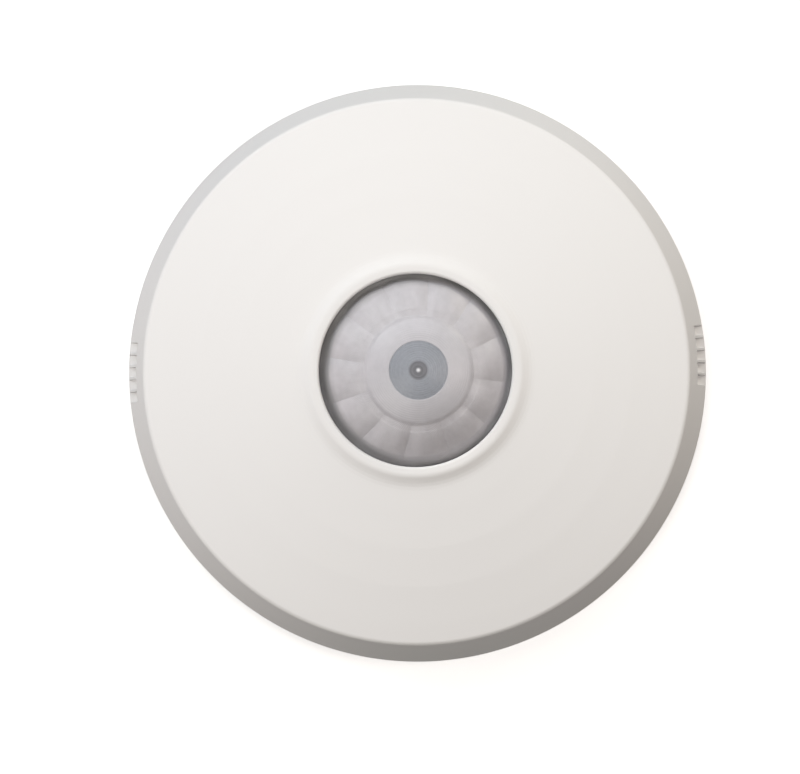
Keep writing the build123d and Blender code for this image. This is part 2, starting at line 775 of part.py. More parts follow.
def sensor_shroud():
    """Low wall round the sensor with three pads that the lens frame's legs drop into."""
    wall = disc(0, 0, SHROUD_R, BOARD_TOP, SHROUD_TOP)
    middle_r = SHROUD_R - SHROUD_WALL
    pads = [sector(middle_r + OVERLAP, SHROUD_PAD_R, BOARD_TOP, SHROUD_PAD_TOP, a, SHROUD_PAD_WIDTH)
            for a in LEG_ANGLES]
    inner, outer = LEG_IN_R - KEY_PLAY, LEG_OUT_R + KEY_PLAY
    key_width = LEG_WIDTH + 2 * math.degrees(KEY_PLAY / LEG_IN_R)
    keys = [sector(inner, outer, BOARD_TOP - PAST, SHROUD_PAD_TOP + PAST, a, key_width) for a in LEG_ANGLES]
    return fused(wall, pads).cut(disc(0, 0, middle_r, BOARD_TOP - PAST, SHROUD_TOP + PAST), *keys)


# Indicator

def walk_test_led():
    """Round indicator with a flange and a domed top."""
    return Pos(0, LED_Y, 0) * turned([
        (0, BOARD_TOP, 0),
        (LED_FLANGE_R, BOARD_TOP, 0),
        (LED_FLANGE_R, LED_FLANGE_TOP, 0),
        (LED_R, LED_FLANGE_TOP, 0),
        (LED_R, LED_TOP, LED_ROUND),
        (0, LED_TOP, 0),
    ])


# Terminal block

def terminal_housing():
    """Housing with a wire entry in front of each way and a screw well above it."""
    length = WAYS * WAY_PITCH + 2 * TERMINAL_MARGIN
    housing = block(0, TERMINAL_Y, length, TERMINAL_DEPTH, BOARD_TOP, TERMINAL_TOP)
    housing = chamfer(housing.edges().filter_by(Axis.X).group_by(Axis.Z)[-1], TERMINAL_CHAMFER)
    well_y = TERMINAL_Y - WIRE_WELL_BACK - PAST / 2
    well_depth = TERMINAL_DEPTH - 2 * WIRE_WELL_BACK + PAST
    cuts = []
    for x in terminal_xs():
        cuts.append(block(x, well_y, WIRE_WELL_WIDTH, well_depth, WIRE_WELL_LOW, WIRE_WELL_TOP))
        cuts.append(disc(x, TERMINAL_Y, SCREW_WELL_R, WIRE_WELL_TOP - PAST, TERMINAL_TOP + PAST))
        cuts.append(disc(x, TERMINAL_Y, THICK_PIN_R + HOLE_PLAY, BOARD_TOP - PAST, WIRE_WELL_LOW + PAST))
    return housing.cut(*cuts)


def terminal_clamps():
    """Metal cage in each way."""
    cages = []
    for x in terminal_xs():
        cage = block(x, TERMINAL_Y - CLAMP_BACK, CLAMP_WIDTH, CLAMP_DEPTH, CLAMP_LOW, CLAMP_TOP)
        width = CLAMP_WIDTH - 2 * CLAMP_WALL
        window = block(x, TERMINAL_Y, width, TERMINAL_DEPTH, CLAMP_LOW + CLAMP_FLOOR, CLAMP_TOP - CLAMP_ROOF)
        hole = disc(x, TERMINAL_Y, CLAMP_HOLE_R, CLAMP_TOP - CLAMP_ROOF - OVERLAP, CLAMP_TOP + PAST)
        cages.append(cage.cut(window, hole))
    return Compound(cages)


def terminal_screws():
    """Slotted clamping screw in each way."""
    head = disc(0, 0, CLAMP_SCREW_HEAD_R, CLAMP_SCREW_HEAD_LOW, CLAMP_SCREW_TOP)
    shank = disc(0, 0, CLAMP_SCREW_R, CLAMP_SCREW_TIP, CLAMP_SCREW_HEAD_LOW)
    slot = Box(2 * CLAMP_SCREW_HEAD_R + PAST, SCREW_SLOT_WIDTH, 2 * SCREW_SLOT_DEPTH)
    screw = (head + shank) - Pos(0, 0, CLAMP_SCREW_TOP) * slot
    return Compound([Pos(x, TERMINAL_Y, 0) * screw for x in terminal_xs()])


# Relay

def relay_case():
    """Sealed relay case on small feet, with its holes for the pins."""
    case = block(RELAY_X, RELAY_Y, RELAY_LENGTH, RELAY_WIDTH, RELAY_LOW, RELAY_TOP)
    case = fillet(case.edges().filter_by(Axis.Z), RELAY_SIDE_ROUND)
    case = fillet(case.edges().group_by(Axis.Z)[-1], RELAY_TOP_ROUND)
    feet = []
    for i in (-1, 1):
        for j in (-1, 1):
            x = RELAY_X + i * (RELAY_LENGTH / 2 - RELAY_FOOT_INSET)
            y = RELAY_Y + j * (RELAY_WIDTH / 2 - RELAY_FOOT_INSET)
            feet.append(block(x, y, RELAY_FOOT, RELAY_FOOT, BOARD_TOP, RELAY_LOW + OVERLAP))
    return fused(case, feet)


# Tamper switch

def tamper_switch_body():
    """Square body with a well for the plunger."""
    x, y, _ = polar(TAMPER_RADIUS, TAMPER_ANGLE)
    body = block(x, y, TAMPER_SIZE, TAMPER_SIZE, BOARD_TOP, TAMPER_TOP)
    body = chamfer(body.edges().group_by(Axis.Z)[-1], TAMPER_CHAMFER)
    well = disc(x, y, PLUNGER_R + KEY_PLAY, PLUNGER_BOTTOM - TAMPER_TRAVEL - KEY_PLAY, TAMPER_TOP + PAST)
    return body.cut(well)


def tamper_plunger():
    """Stem and domed cap that the cover's ramp presses."""
    return Pos(*polar(TAMPER_RADIUS, TAMPER_ANGLE)) * turned([
        (0, PLUNGER_BOTTOM, 0),
        (PLUNGER_R, PLUNGER_BOTTOM, STEM_ROUND),
        (PLUNGER_R, CAP_LOW, 0),
        (CAP_R, CAP_LOW, 0),
        (CAP_R, CAP_TOP, CAP_ROUND),
        (0, CAP_TOP, 0),
    ])


def tamper_spring():
    """Return spring between the body and the cap."""
    height = CAP_LOW - TAMPER_TOP - 2 * (SPRING_WIRE_R + SPRING_PLAY)
    path = Helix(height / SPRING_TURNS, height, SPRING_R)
    section = Plane(path @ 0, z_dir=path % 0) * Circle(SPRING_WIRE_R)
    coil = sweep(section, path=path, is_frenet=True)
    return Pos(*polar(TAMPER_RADIUS, TAMPER_ANGLE, TAMPER_TOP + SPRING_WIRE_R + SPRING_PLAY)) * coil


# Trimmer and option switch

def trimmer_body():
    """Square trimmer case with a round well."""
    body = block(TRIMMER_X, TRIMMER_Y, TRIMMER_SIZE, TRIMMER_SIZE, BOARD_TOP, TRIMMER_TOP)
    body = chamfer(body.edges().filter_by(Axis.Z), TRIMMER_CHAMFER)
    well = disc(TRIMMER_X, TRIMMER_Y, ROTOR_R + ROTOR_PLAY, ROTOR_LOW - ROTOR_FLOOR_GAP, TRIMMER_TOP + PAST)
    return body - well


def trimmer_rotor():
    """Rotor with a cross slot and a pointer flat."""
    rotor = disc(0, 0, ROTOR_R, ROTOR_LOW, ROTOR_TOP)
    slot = Pos(0, 0, ROTOR_TOP) * Box(ROTOR_SLOT_LENGTH, ROTOR_SLOT_WIDTH, 2 * ROTOR_SLOT_DEPTH)
    cuts = [slot, Rot(0, 0, 90) * slot]
    pointer_low = ROTOR_LOW + POINTER_STEP
    cuts.append(block(0, ROTOR_R, POINTER_WIDTH, 2 * POINTER_DEPTH, pointer_low, ROTOR_TOP + PAST))
    return Pos(TRIMMER_X, TRIMMER_Y, 0) * rotor.cut(*cuts)


def option_switch_body():
    """Low case with one slot for each slider."""
    body = block(0, OPTION_Y, OPTION_LENGTH, OPTION_WIDTH, BOARD_TOP, OPTION_TOP)
    body = chamfer(body.edges().group_by(Axis.Z)[-1], OPTION_CHAMFER)
    length = SLIDER_TRAVEL + 2 * (SLIDER_HALF + SLIDER_PLAY)
    slot = block(0, OPTION_Y, OPTION_SLOT_WIDTH, length, OPTION_SLOT_FLOOR, OPTION_TOP + PAST)
    return body.cut(*[Pos(x, 0, 0) * slot for x in option_xs()])


def option_slider(x):
    """Slider in its off position."""
    y = OPTION_Y - SLIDER_TRAVEL / 2
    slider = block(x, y, SLIDER_WIDTH, 2 * SLIDER_HALF, SLIDER_LOW, SLIDER_TOP)
    return chamfer(slider.edges().group_by(Axis.Z)[-1], SLIDER_CHAMFER)


# Small parts on the board

def gull_leads(chip):
    """Two rows of gull-wing leads for a chip that is long along Y."""
    x, y, width, _, _, count = chip
    pieces = []
    for side in (-1, 1):
        inner = x + side * width / 2
        for index in range(count):
            lead_y = y + (index - (count - 1) / 2) * CHIP_LEAD_PITCH
            shoulder_x = inner + side * GULL_SHOULDER / 2
            drop_x = inner + side * (GULL_SHOULDER - GULL_THICK / 2)
            toe_length = GULL_REACH - GULL_SHOULDER + GULL_THICK
            toe_x = inner + side * (GULL_REACH - toe_length / 2)
            shoulder = block(shoulder_x, lead_y, GULL_SHOULDER, GULL_WIDTH, GULL_TOP - GULL_THICK, GULL_TOP)
            drop = block(drop_x, lead_y, GULL_THICK, GULL_WIDTH, BOARD_TOP, GULL_TOP)
            toe = block(toe_x, lead_y, toe_length, GULL_WIDTH, BOARD_TOP, BOARD_TOP + GULL_THICK)
            pieces.append(fused(shoulder, [drop, toe]))
    return Compound(pieces)


def chip_body(chip):
    """Moulded chip body with a pin-one dimple."""
    x, y, width, length, top, _ = chip
    body = block(x, y, width, length, BOARD_TOP + CHIP_STANDOFF, top)
    body = chamfer(body.edges().group_by(Axis.Z)[-1], CHIP_CHAMFER)
    dimple_x = x - width / 2 + DIMPLE_INSET
    dimple_y = y + length / 2 - DIMPLE_INSET
    return body - disc(dimple_x, dimple_y, DIMPLE_R, top - DIMPLE_DEPTH, top + PAST)


def electrolytic_capacitors():
    """Cans with a crimp groove, standing on the board."""
    cans = []
    for x, y, radius, height in CAPACITORS:
        can = disc(x, y, radius, BOARD_TOP, BOARD_TOP + height)
        can = fillet(can.edges().sort_by(Axis.Z)[-1], CAPACITOR_ROUND)
        groove = Pos(x, y, BOARD_TOP + CRIMP_HEIGHT) * Torus(radius + CRIMP_OFFSET, CRIMP_R)
        cans.append(can - groove)
    return Compound(cans)


def voltage_regulator():
    """Regulator body with its wide tab and three leads as one moulded part."""
    x, y = REGULATOR_X, REGULATOR_Y
    foot_y = (REGULATOR_WIDTH + REGULATOR_FOOT_REACH) / 2 - OVERLAP
    foot_top = BOARD_TOP + REGULATOR_FOOT_THICK
    low = BOARD_TOP + REGULATOR_LIFT
    body = block(x, y, REGULATOR_LENGTH, REGULATOR_WIDTH, low, BOARD_TOP + REGULATOR_HEIGHT)
    body = chamfer(body.edges().group_by(Axis.Z)[-1], REGULATOR_CHAMFER)
    feet = [block(x, y + foot_y, REGULATOR_TAB_WIDTH, REGULATOR_FOOT_REACH, BOARD_TOP, foot_top)]
    for index in (-1, 0, 1):
        leg_x = x + index * REGULATOR_LEG_PITCH
        feet.append(block(leg_x, y - foot_y, REGULATOR_LEG_WIDTH, REGULATOR_FOOT_REACH, BOARD_TOP, foot_top))
    return fused(body, feet)


def rectifier_diodes():
    """Three small moulded diodes."""
    body = block(0, 0, DIODE_LENGTH, DIODE_WIDTH, DIODE_LIFT, DIODE_HEIGHT)
    body = chamfer(body.edges().group_by(Axis.Z)[-1], DIODE_CHAMFER)
    ends = []
    for side in (-1, 1):
        ends.append(block(side * DIODE_END_X, 0, DIODE_END_LENGTH, DIODE_END_WIDTH, 0, DIODE_END_THICK))
    diode = fused(body, ends)
    return Compound([Pos(x, y, BOARD_TOP) * Rot(0, 0, turn) * diode for x, y, turn in DIODES])


def varistor_lead_places():
    """Two leads along the disc's width."""
    along_x, along_y, _ = polar(VARISTOR_LEAD_OFFSET, VARISTOR_TURN)
    return [(VARISTOR_X + side * along_x, VARISTOR_Y + side * along_y, PIN_R) for side in (-1, 1)]


def surge_varistor():
    """Coated disc standing on edge, with its two leads."""
    centre_z = BOARD_TOP + VARISTOR_R + VARISTOR_LIFT
    coin = Rot(90, 0, 0) * Cylinder(VARISTOR_R, VARISTOR_THICK)
    coin = fillet(coin.edges().filter_by(GeomType.CIRCLE), VARISTOR_ROUND)
    coin = Pos(VARISTOR_X, VARISTOR_Y, centre_z) * Rot(0, 0, VARISTOR_TURN) * coin
    return fused(coin, [disc(x, y, radius, PIN_BOTTOM, centre_z) for x, y, radius in varistor_lead_places()])


def chip_parts(rings, size):
    """Small rectangular parts lying on the board, each across its circle's radius."""
    length, width, height = size
    chip = block(0, 0, length, width, 0, height)
    parts = []
    for radius, angles in rings:
        for angle in angles:
            x, y, _ = polar(radius, angle)
            parts.append(Pos(x, y, BOARD_TOP) * Rot(0, 0, angle + 90) * chip)
    return Compound(parts)


def build_parts():
    """Every separate piece by name."""
    parts = {
        "back_base": back_base(),
        "circuit_board": circuit_board(),
        "board_screws": board_screws(),
        "pyro_spacer": pyro_spacer(),
        "pyro_header": pyro_header(),
        "pyro_can": pyro_can(),
        "pyro_window": pyro_window(),
        "pyro_leads": leads(pyro_places(), SPACER_TOP),
        "sensor_shroud": sensor_shroud(),
        "walk_test_led": walk_test_led(),
        "led_leads": leads(led_lead_places(), BOARD_TOP),
        "terminal_housing": terminal_housing(),
        "terminal_clamps": terminal_clamps(),
        "terminal_screws": terminal_screws(),
        "terminal_pins": leads(terminal_pin_places(), CLAMP_LOW),
        "relay_case": relay_case(),
        "relay_pins": leads(relay_pin_places(), RELAY_LOW),
        "tamper_switch_body": tamper_switch_body(),
        "tamper_switch_pins": leads(tamper_pin_places(), BOARD_TOP),
        "tamper_plunger": tamper_plunger(),
        "tamper_spring": tamper_spring(),
        "electrolytic_capacitors": electrolytic_capacitors(),
        "capacitor_leads": leads(capacitor_lead_places(), BOARD_TOP),
        "microcontroller": chip_body(MICROCONTROLLER),
        "microcontroller_leads": gull_leads(MICROCONTROLLER),
        "amplifier_chip": chip_body(AMPLIFIER),
        "amplifier_leads": gull_leads(AMPLIFIER),
        "voltage_regulator": voltage_regulator(),
        "rectifier_diodes": rectifier_diodes(),
        "surge_varistor": surge_varistor(),
        "chip_resistors": chip_parts(RESISTOR_RINGS, RESISTOR_SIZE),
        "chip_capacitors": chip_parts(CHIP_CAPACITOR_RINGS, CHIP_CAPACITOR_SIZE),
        "trimmer_body": trimmer_body(),
        "trimmer_pins": leads(trimmer_pin_places(), BOARD_TOP),
        "trimmer_rotor": trimmer_rotor(),
        "option_switch_body": option_switch_body(),
        "option_switch_pins": leads(option_pin_places(), BOARD_TOP),
        "fresnel_lens": fresnel_lens(),
        "lens_frame": lens_frame(),
        "front_cover": front_cover(),
        "lens_retainer": lens_retainer(),
        "retainer_screws": retainer_screws(),
    }
    for number, x in enumerate(option_xs(), start=1):
        parts[f"option_slider_{number}"] = option_slider(x)
    return parts


os.makedirs("parts", exist_ok=True)
for name, shape in build_parts().items():
    export_step(shape, f"parts/{name}.step")
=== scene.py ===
import json
import math

import bmesh
import bpy
import numpy as np
from mathutils import Matrix, Vector


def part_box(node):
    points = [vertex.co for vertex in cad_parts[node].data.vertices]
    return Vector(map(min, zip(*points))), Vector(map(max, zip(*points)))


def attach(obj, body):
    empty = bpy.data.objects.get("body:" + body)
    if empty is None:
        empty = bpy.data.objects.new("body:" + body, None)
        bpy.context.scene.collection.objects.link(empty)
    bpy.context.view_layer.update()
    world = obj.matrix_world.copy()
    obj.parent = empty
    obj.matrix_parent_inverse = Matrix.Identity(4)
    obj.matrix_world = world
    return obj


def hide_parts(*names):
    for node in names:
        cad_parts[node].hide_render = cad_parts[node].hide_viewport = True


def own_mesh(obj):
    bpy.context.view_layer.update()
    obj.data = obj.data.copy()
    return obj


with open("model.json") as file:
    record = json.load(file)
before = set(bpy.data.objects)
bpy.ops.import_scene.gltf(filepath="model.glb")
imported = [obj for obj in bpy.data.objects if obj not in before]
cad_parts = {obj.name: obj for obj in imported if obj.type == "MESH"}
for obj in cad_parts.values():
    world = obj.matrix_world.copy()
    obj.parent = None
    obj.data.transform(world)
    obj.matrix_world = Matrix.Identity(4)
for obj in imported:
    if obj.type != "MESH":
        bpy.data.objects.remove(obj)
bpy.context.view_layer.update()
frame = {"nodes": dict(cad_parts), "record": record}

# Shapes are made in millimetres about the frame's origin and scaled once, in finish_piece
MM = 0.001
WELD = 1e-4
LONG_RUN = 0.6   # straight runs longer than this get points near their ends
RUN_MARGIN = 0.1

# Camera: nearly on the lens's axis, a little low and to the right
CAMERA_LENS = 158.0
CAMERA_FAR = 10.0
CAMERA_PLACE = Vector((0.0126, -0.019, 0.7034))
CAMERA_TARGET = Vector((-0.00347, -0.00275, 0.0))

# Studio: round soft lights, as name, azimuth, elevation, watts and colour
WORLD_STRENGTH = 0.03
LIGHT_DISTANCE = 1.5
LIGHT_SIZE = 0.9
LIGHTS = (
    ("window_left", 135.0, 35.0, 8.1, (0.955, 1.0, 1.0)),
    ("low_right", 45.0, 15.0, 8.0, (1.0, 0.95, 0.83)),
    ("fill_left", 225.0, 55.0, 7.4, (1.0, 0.97, 0.90)),
    ("window_top", 90.0, 35.0, 6.7, (0.90, 0.92, 0.985)),
    ("fill_right", 0.0, 55.0, 8.1, (1.0, 0.90, 0.84)),
    ("low_left", 180.0, 15.0, 6.4, (1.0, 0.89, 0.876)),
)
WHITE = (1.0, 1.0, 1.0, 1.0)

# Floor, in metres: flat near the object, and curved up far away into a backdrop
FLOOR_R = 2.4
FLOOR_BEND = 1.0
FLOOR_RINGS = 4
FLOOR_BEND_STEPS = 8
FLOOR_COLUMNS = 96
FLOOR_DROP = 0.0003
FLOOR_PAINT = (0.9, 0.9, 0.9)
FLOOR_GLOW = 0.45
BACKDROP_GLOW = 0.95

# Cover
COVER_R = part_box("front_cover")[1].x / MM
COVER_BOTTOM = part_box("front_cover")[0].z / MM
LIP_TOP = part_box("front_cover")[1].z / MM
LAND_TOP = 4.0
EDGE_R = 53.6
EDGE_Z = 15.2
CROWN_R = 38.5
CROWN_Z = 19.3
CROWN_BEND = 230.0
LIP_FOOT_R = 22.3
LIP_FOOT_Z = 22.0
LIP_OUT_R = 20.6
BORE_R = 18.8
LEDGE_Z = 20.5
POCKET_R = 20.1
COLLAR_R = 21.9
COLLAR_BOTTOM = 18.5
WALL = 2.0
SIDE_WALL = 2.15
COVER_COLUMNS = 360

# Grip notches at 3 and 9 o'clock
GRIP_COUNT = 5
GRIP_PITCH = 2.5
GRIP_WIDTH = 2.0
GRIP_FLOOR = 4.3
GRIP_R = 55.5
GRIP_MIDDLES = (3.4, 180.0)
GRIP_SOFTNESS = 0.06   # degrees each side of a notch's edge
GRIP_EDGE_SHARES = (-1.0, -0.5, 0.0, 0.5, 1.0)
GRIP_HALF = math.degrees(GRIP_WIDTH / COVER_R) / 2
SIDE_TOLERANCE = 0.05

# Inside of the cover
TWIST = 14.0
TAB_ANGLES = (30.0, 150.0, 270.0)
RIB_ANGLES = (10.0, 50.0, 130.0, 170.0, 250.0, 290.0)
RIB_THICK = 1.0
RIB_DEPTH = 1.2
RIB_END_DEPTH = 0.4
RIB_OVERLAP = 0.5
POST_ANGLES = (90.0, 210.0, 330.0)
POST_PLACE_R = 25.0
POST_R = 2.5
POST_HOLE_R = 0.85
POST_LOW = 16.0
POST_TOP = 20.4
POST_HOLE_TOP = 19.7
RAMP_ANGLE = 60.0
RAMP_MIDDLE_R = 40.0
RAMP_HALF_WIDTH = 2.0
RAMP_ROOT = 17.2
RAMP_HIGH = 15.35
RAMP_LOW = 14.35
RAMP_LEAD = 0.35
RAMP_END = 8.4

# Lens: centre disc, inner tier and outer tier of segments on a ball, then a rim that rolls down to a flange
LENS_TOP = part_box("fresnel_lens")[1].z / MM
FLANGE_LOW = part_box("fresnel_lens")[0].z / MM
FLANGE_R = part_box("fresnel_lens")[1].x / MM
FLANGE_HIGH = FLANGE_LOW + 0.8
FLANGE_SOFT = 0.1
FLANGE_FILLET = ((0.1, 0.02), (0.25, 0.0))  # distance past the dome and above the flange
DOME_FOOT = 0.1
DOME_MARK = 100.0   # stands for heights that lens_surface sets
LENS_R = 18.55
SHOULDER_R = 16.7
BALL_R = 23.9
LENS_WALL = 0.9
DISC_R = 5.68
TIER_R = 9.95
NUB_R = 0.3
NUB_DIP = 0.03
DISC_LEVEL = -0.10
TIER_LEVEL = -0.02
TIER_SWELL = 0.08
OUTER_LEVEL = -0.36
OUTER_LIFT = 0.8
GROOVE_PITCH = 0.42
GROOVE_HEIGHT = 0.012
STEP_R = (11.7, 12.1)   # a faint ring across the segments
STEP_HEIGHT = 0.04
SEGMENTS = 12
SEGMENT_TURN = 22.0
PILLOW = 1.05
LENS_SHIFT = Vector((0.72, -0.17, 0.0))   # the dome's middle, which isn't the flange's
RIM_SHIFT = Vector((0.14, 0.08, 0.0))
SHIFT_FADE_R = (TIER_R + 2.0, LENS_R - 1.0)
SHIFT_FADE_Z = (FLANGE_HIGH, FLANGE_HIGH + 0.4)
LENS_RINGS = (   # start, spacing and count of the rings of points
    (0.42, 0.105, 49),
    (DISC_R + 0.25, 0.25, 17),
    (TIER_R, 0.1, 11),
    (TIER_R + 1.2, 0.22, 22),
    (SHOULDER_R, (LENS_R - SHOULDER_R) / 14, 15),
)
LENS_EXTRA_RINGS = (0.0, 0.15, 0.28, 0.32, DISC_R - 0.06, DISC_R - 0.03, DISC_R + 0.01, DISC_R + 0.05,
                    DISC_R + 0.1, 11.85, 11.95, 12.05)
DISC_EDGE_R = (DISC_R - 0.03, DISC_R + 0.05)
TIER_EDGE_R = (TIER_R, TIER_R + 0.9)
SEAM_SHARES = (0.0, 0.012, 0.03, 0.06, 0.1, 0.2, 0.3, 0.4, 0.5, 0.6, 0.7, 0.8, 0.9, 0.94, 0.97, 0.988)
INNER_RINGS = 16

# Lens colours, from the middle out
# The nub's colour is a painted highlight at the lens's middle
LENS_NUB_HIGHLIGHT_COLOR = (0.78, 0.79, 0.83)
LENS_SPOT_COLOR = (0.190, 0.194, 0.214)
LENS_DISC_COLOR = (0.300, 0.320, 0.360)
LENS_INNER_COLOR = (0.532, 0.527, 0.560)
LENS_COLOR = (0.510, 0.501, 0.529)
# Rim and edge colours: painted shade of the deep gap between the lens and the bore, partly the black frame
# seen through the lens's edge
LENS_RIM_SHADE_COLOR = (0.33, 0.325, 0.335)
LENS_EDGE_SHADE_COLOR = (0.26, 0.26, 0.265)
NUB_HIGHLIGHT_FADE_R = (0.16, 0.52)
SPOT_R = 2.0
SPOT_FADE_R = (SPOT_R - 0.45, SPOT_R + 0.1)
SPOT_RING = 0.78
DISC_FADE_R = (DISC_R - 0.1, DISC_R + 0.1)
TIER_FADE_R = (TIER_R - 0.3, TIER_R + 1.0)
RIM_SHADE_FADE_R = (16.35, 18.0)
EDGE_SHADE_FADE_R = (18.0, 18.6)
RIM_SHADE_SHIFT = Vector((0.65, -0.2, 0.0))
STREAKS_ROUND = 7.0
STREAKS_OUT = 0.12
LENSLET_R = 13.2
LENSLET_PITCH = 0.3
LENSLET_FADE_R = (TIER_R, TIER_R + 0.2)
DISC_RIPPLE_SHARE = 0.15
LENS_SCATTER = 0.2
LENS_SCATTER_RADIUS = (1.0, 0.95, 0.9)

# Base
BASE_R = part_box("back_base")[1].x / MM
SPIGOT_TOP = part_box("back_base")[1].z / MM
BASE_FLOOR = 2.0
RIM_TOP = 3.0
RIM_IN_R = 55.2
SPIGOT_R = 51.6
SPIGOT_IN_R = 50.0
BASE_COLUMNS = 288
TAB_R = 53.2
TAB_HIGH = 7.8
STOP_OFFSET = 7.5
STOP_INSET = 0.01
BOARD_SCREW_R = 41.0
BOARD_SCREW_ANGLES = (40.0, 140.0, 230.0, 310.0)
BOSS_R = 3.2
BOSS_HOLE_R = 1.05
BOSS_HOLE_LOW = 1.4
BOSS_ROOT = 1.0
BOSS_RIB_OVERLAP = 1.0
FIXING_X = 41.5
ENTRY_Y = -42.0
CUT_LOW = -1.0
CUT_HIGH = 5.0
KNOCKOUT_ANGLES = (60.0, 120.0, 240.0, 300.0)
KNOCKOUT_R = 41.5
MARK_PLACES = (   # radius and angle
    (24.0, 0.0), (24.0, 90.0), (24.0, 180.0), (24.0, 270.0),
    (50.5, 45.0), (50.5, 135.0), (50.5, 225.0), (50.5, 315.0),
)

# Board
BOARD_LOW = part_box("circuit_board")[0].z / MM
BOARD_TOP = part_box("circuit_board")[1].z / MM
COPPER = 0.05
MASKED = 0.7 * COPPER
INK = 0.02
PAD_RING = 0.55
LEAD_NODES = ("pyro_leads", "led_leads", "terminal_pins", "relay_pins", "tamper_switch_pins",
              "capacitor_leads", "trimmer_pins", "option_switch_pins")
FILLET = ((0.0, 0.75), (0.06, 0.72), (0.14, 0.42), (0.32, 0.14))   # past the lead, below the pad
TOP_FILLET = ((0.2, 2 * COPPER), (0.0, 4 * COPPER))   # past the lead, above the board
CHIP_BODY_LIFT = 0.03
CHIP_BODY_DROP = 0.02
CHIP_FOOT = 0.01
FAN_NODES = ("microcontroller_leads", "amplifier_leads")
FAN_WIDTH = 0.3
FAN_BACK = 0.2
FAN_REACH = 0.5
FAN_STAGGER = 0.28
FAN_RISE = 0.35
POWER_WIDTH = 1.3
POWER_START = 0.4
POWER_REACH = 4.6
POWER_FAN = 0.9
ARC_WIDTH = 0.35
ARC_STEPS = 24
ARC_TRACKS = (                 # radius, start and end angle
    (44.6, 100.0, 168.0),
    (43.85, 102.0, 166.5),
    (43.1, 104.0, 165.0),
)
UNDER_TRACKS = 14
UNDER_WIDTH = 0.5
UNDER_START = -30.0
UNDER_PITCH = 4.6
UNDER_R = 43.0
UNDER_MARGIN = 12.0
UNDER_CLEAR = 9.0   # half of the band in the middle that has none
UNDER_JOG = 1.6
UNDER_JOG_START = 0.4   # shares of half the track
UNDER_JOG_END = 0.5
PRINT_WIDTH = 0.16
PRINT_GAP = 0.45
PRINT_NODES = ("relay_case", "terminal_housing", "trimmer_body", "option_switch_body", "tamper_switch_body",
               "amplifier_chip")
PRINT_RING = (0.25, 0.4)
CORNER_MARK_ANGLES = (45.0, 135.0, 225.0, 315.0)

# Electrolytic capacitors
CAN_FOOT = 0.2
CAN_FOOT_INSET = 0.3
CRIMP = (0.95, 1.3, 1.65)   # heights of the crimp's start, middle and end
CRIMP_DEPTH = 0.35
CAN_RIM = 0.75
CAN_SINK = 0.12
CAN_SLOPE = 0.05
TOP_INSET = 0.82
TOP_LOW = 0.14
TOP_HIGH = 0.05
SCORE_INSET = 1.2
SCORE_LOW = 0.06
SCORE_HIGH = 0.03
SCORE_TURNS = (30.0, 120.0)
STRIPE_PARTS = 9
STRIPE_STEP = 4.5
STRIPE_PART = 4.7
STRIPE_LOW = 1.9
STRIPE_END = 0.5
STRIPE_PROUD = 0.005
STRIPE_SEAT = 0.999

# Tamper spring
WIRE_R = 0.16
COIL_TURNS = 5
COIL_STEPS = 28
WIRE_COLUMNS = 10
CLOSED_END = 0.06
CLOSED_SHARE = 0.25

# Materials
NOISE_RANGE = (0.3, 0.7)   # where noise mostly lies
PATCH_GLOSS = 0.06
BOARD_COLOR = (0.018, 0.125, 0.045)
CLOTH_PITCH = 0.55


# Shapes

def arc_points(before, here, after, radius, step):
    """Points of the arc that rounds a corner."""
    to_before = (before - here).normalized()
    to_after = (after - here).normalized()
    corner = to_before.angle(to_after)
    turn = math.pi - corner
    cut = radius / math.tan(corner / 2)
    start = here + to_before * cut
    end = here + to_after * cut
    centre = here + (to_before + to_after).normalized() * radius / math.sin(corner / 2)
    count = max(3, math.ceil(math.degrees(turn) / step))
    points = []
    for index in range(count + 1):
        share = index / count
        first = math.sin((1 - share) * turn) / math.sin(turn)
        second = math.sin(share * turn) / math.sin(turn)
        points.append(centre + (start - centre) * first + (end - centre) * second)
    return points


def rounded(corners, step=8.0, longest=2.5):
    """Closed outline of (radius, height, corner radius), with points near the ends of long straights."""
    points = []
    for index, (r, z, radius) in enumerate(corners):
        here = Vector((r, z))
        before = Vector(corners[index - 1][:2])
        after = Vector(corners[(index + 1) % len(corners)][:2])
        points += arc_points(before, here, after, radius, step) if radius else [here]
    outline = []
    for here, after in zip(points, points[1:] + points[:1]):
        outline.append(here)
        length = (after - here).length
        if length > LONG_RUN and max(here.x, after.x) > 0:
            count = math.ceil(length / longest)
            margin = RUN_MARGIN / length
            shares = [margin] + [k / count for k in range(1, count)] + [1 - margin]
            outline += [here.lerp(after, share) for share in shares]
    return [tuple(point) for point in outline]


def even(count):
    """Column angles, evenly spaced."""
    return [360.0 * index / count for index in range(count)]


def polar(radius, angle):
    turn = math.radians(angle)
    return radius * math.cos(turn), radius * math.sin(turn)


def smooth_step(value, low, high):
    share = min(1.0, max(0.0, (value - low) / (high - low)))
    return share * share * (3 - 2 * share)


def angle_apart(first, second):
    return abs((first - second + 180) % 360 - 180)


def join_rows(bm, first, second):
    """Faces between two matching closed rows of points."""
    for here in range(len(first)):
        after = (here + 1) % len(first)
        bm.faces.new((first[here], first[after], second[after], second[here]))


def add_lathe(bm, outline, columns, place=(0.0, 0.0), shape=None):
    """Turns a closed outline about an upright axis. shape may move each point of each column."""
    rows = []
    for angle in columns:
        row = []
        for r, z in outline:
            if shape:
                r, z = shape(r, z, angle)
            x, y = polar(r, angle)
            row.append(bm.verts.new((place[0] + x, place[1] + y, z)))
        rows.append(row)
    for left, right in zip(rows, rows[1:] + rows[:1]):
        join_rows(bm, left, right)


def add_rings(bm, rings, capped=True):
    """Surface through matching rings of points in turn, closed at both ends where it is capped."""
    rows = [[bm.verts.new(point) for point in ring] for ring in rings]
    if capped:
        bm.faces.new(rows[0][::-1])
        bm.faces.new(rows[-1])
    for first, second in zip(rows, rows[1:]):
        join_rows(bm, first, second)


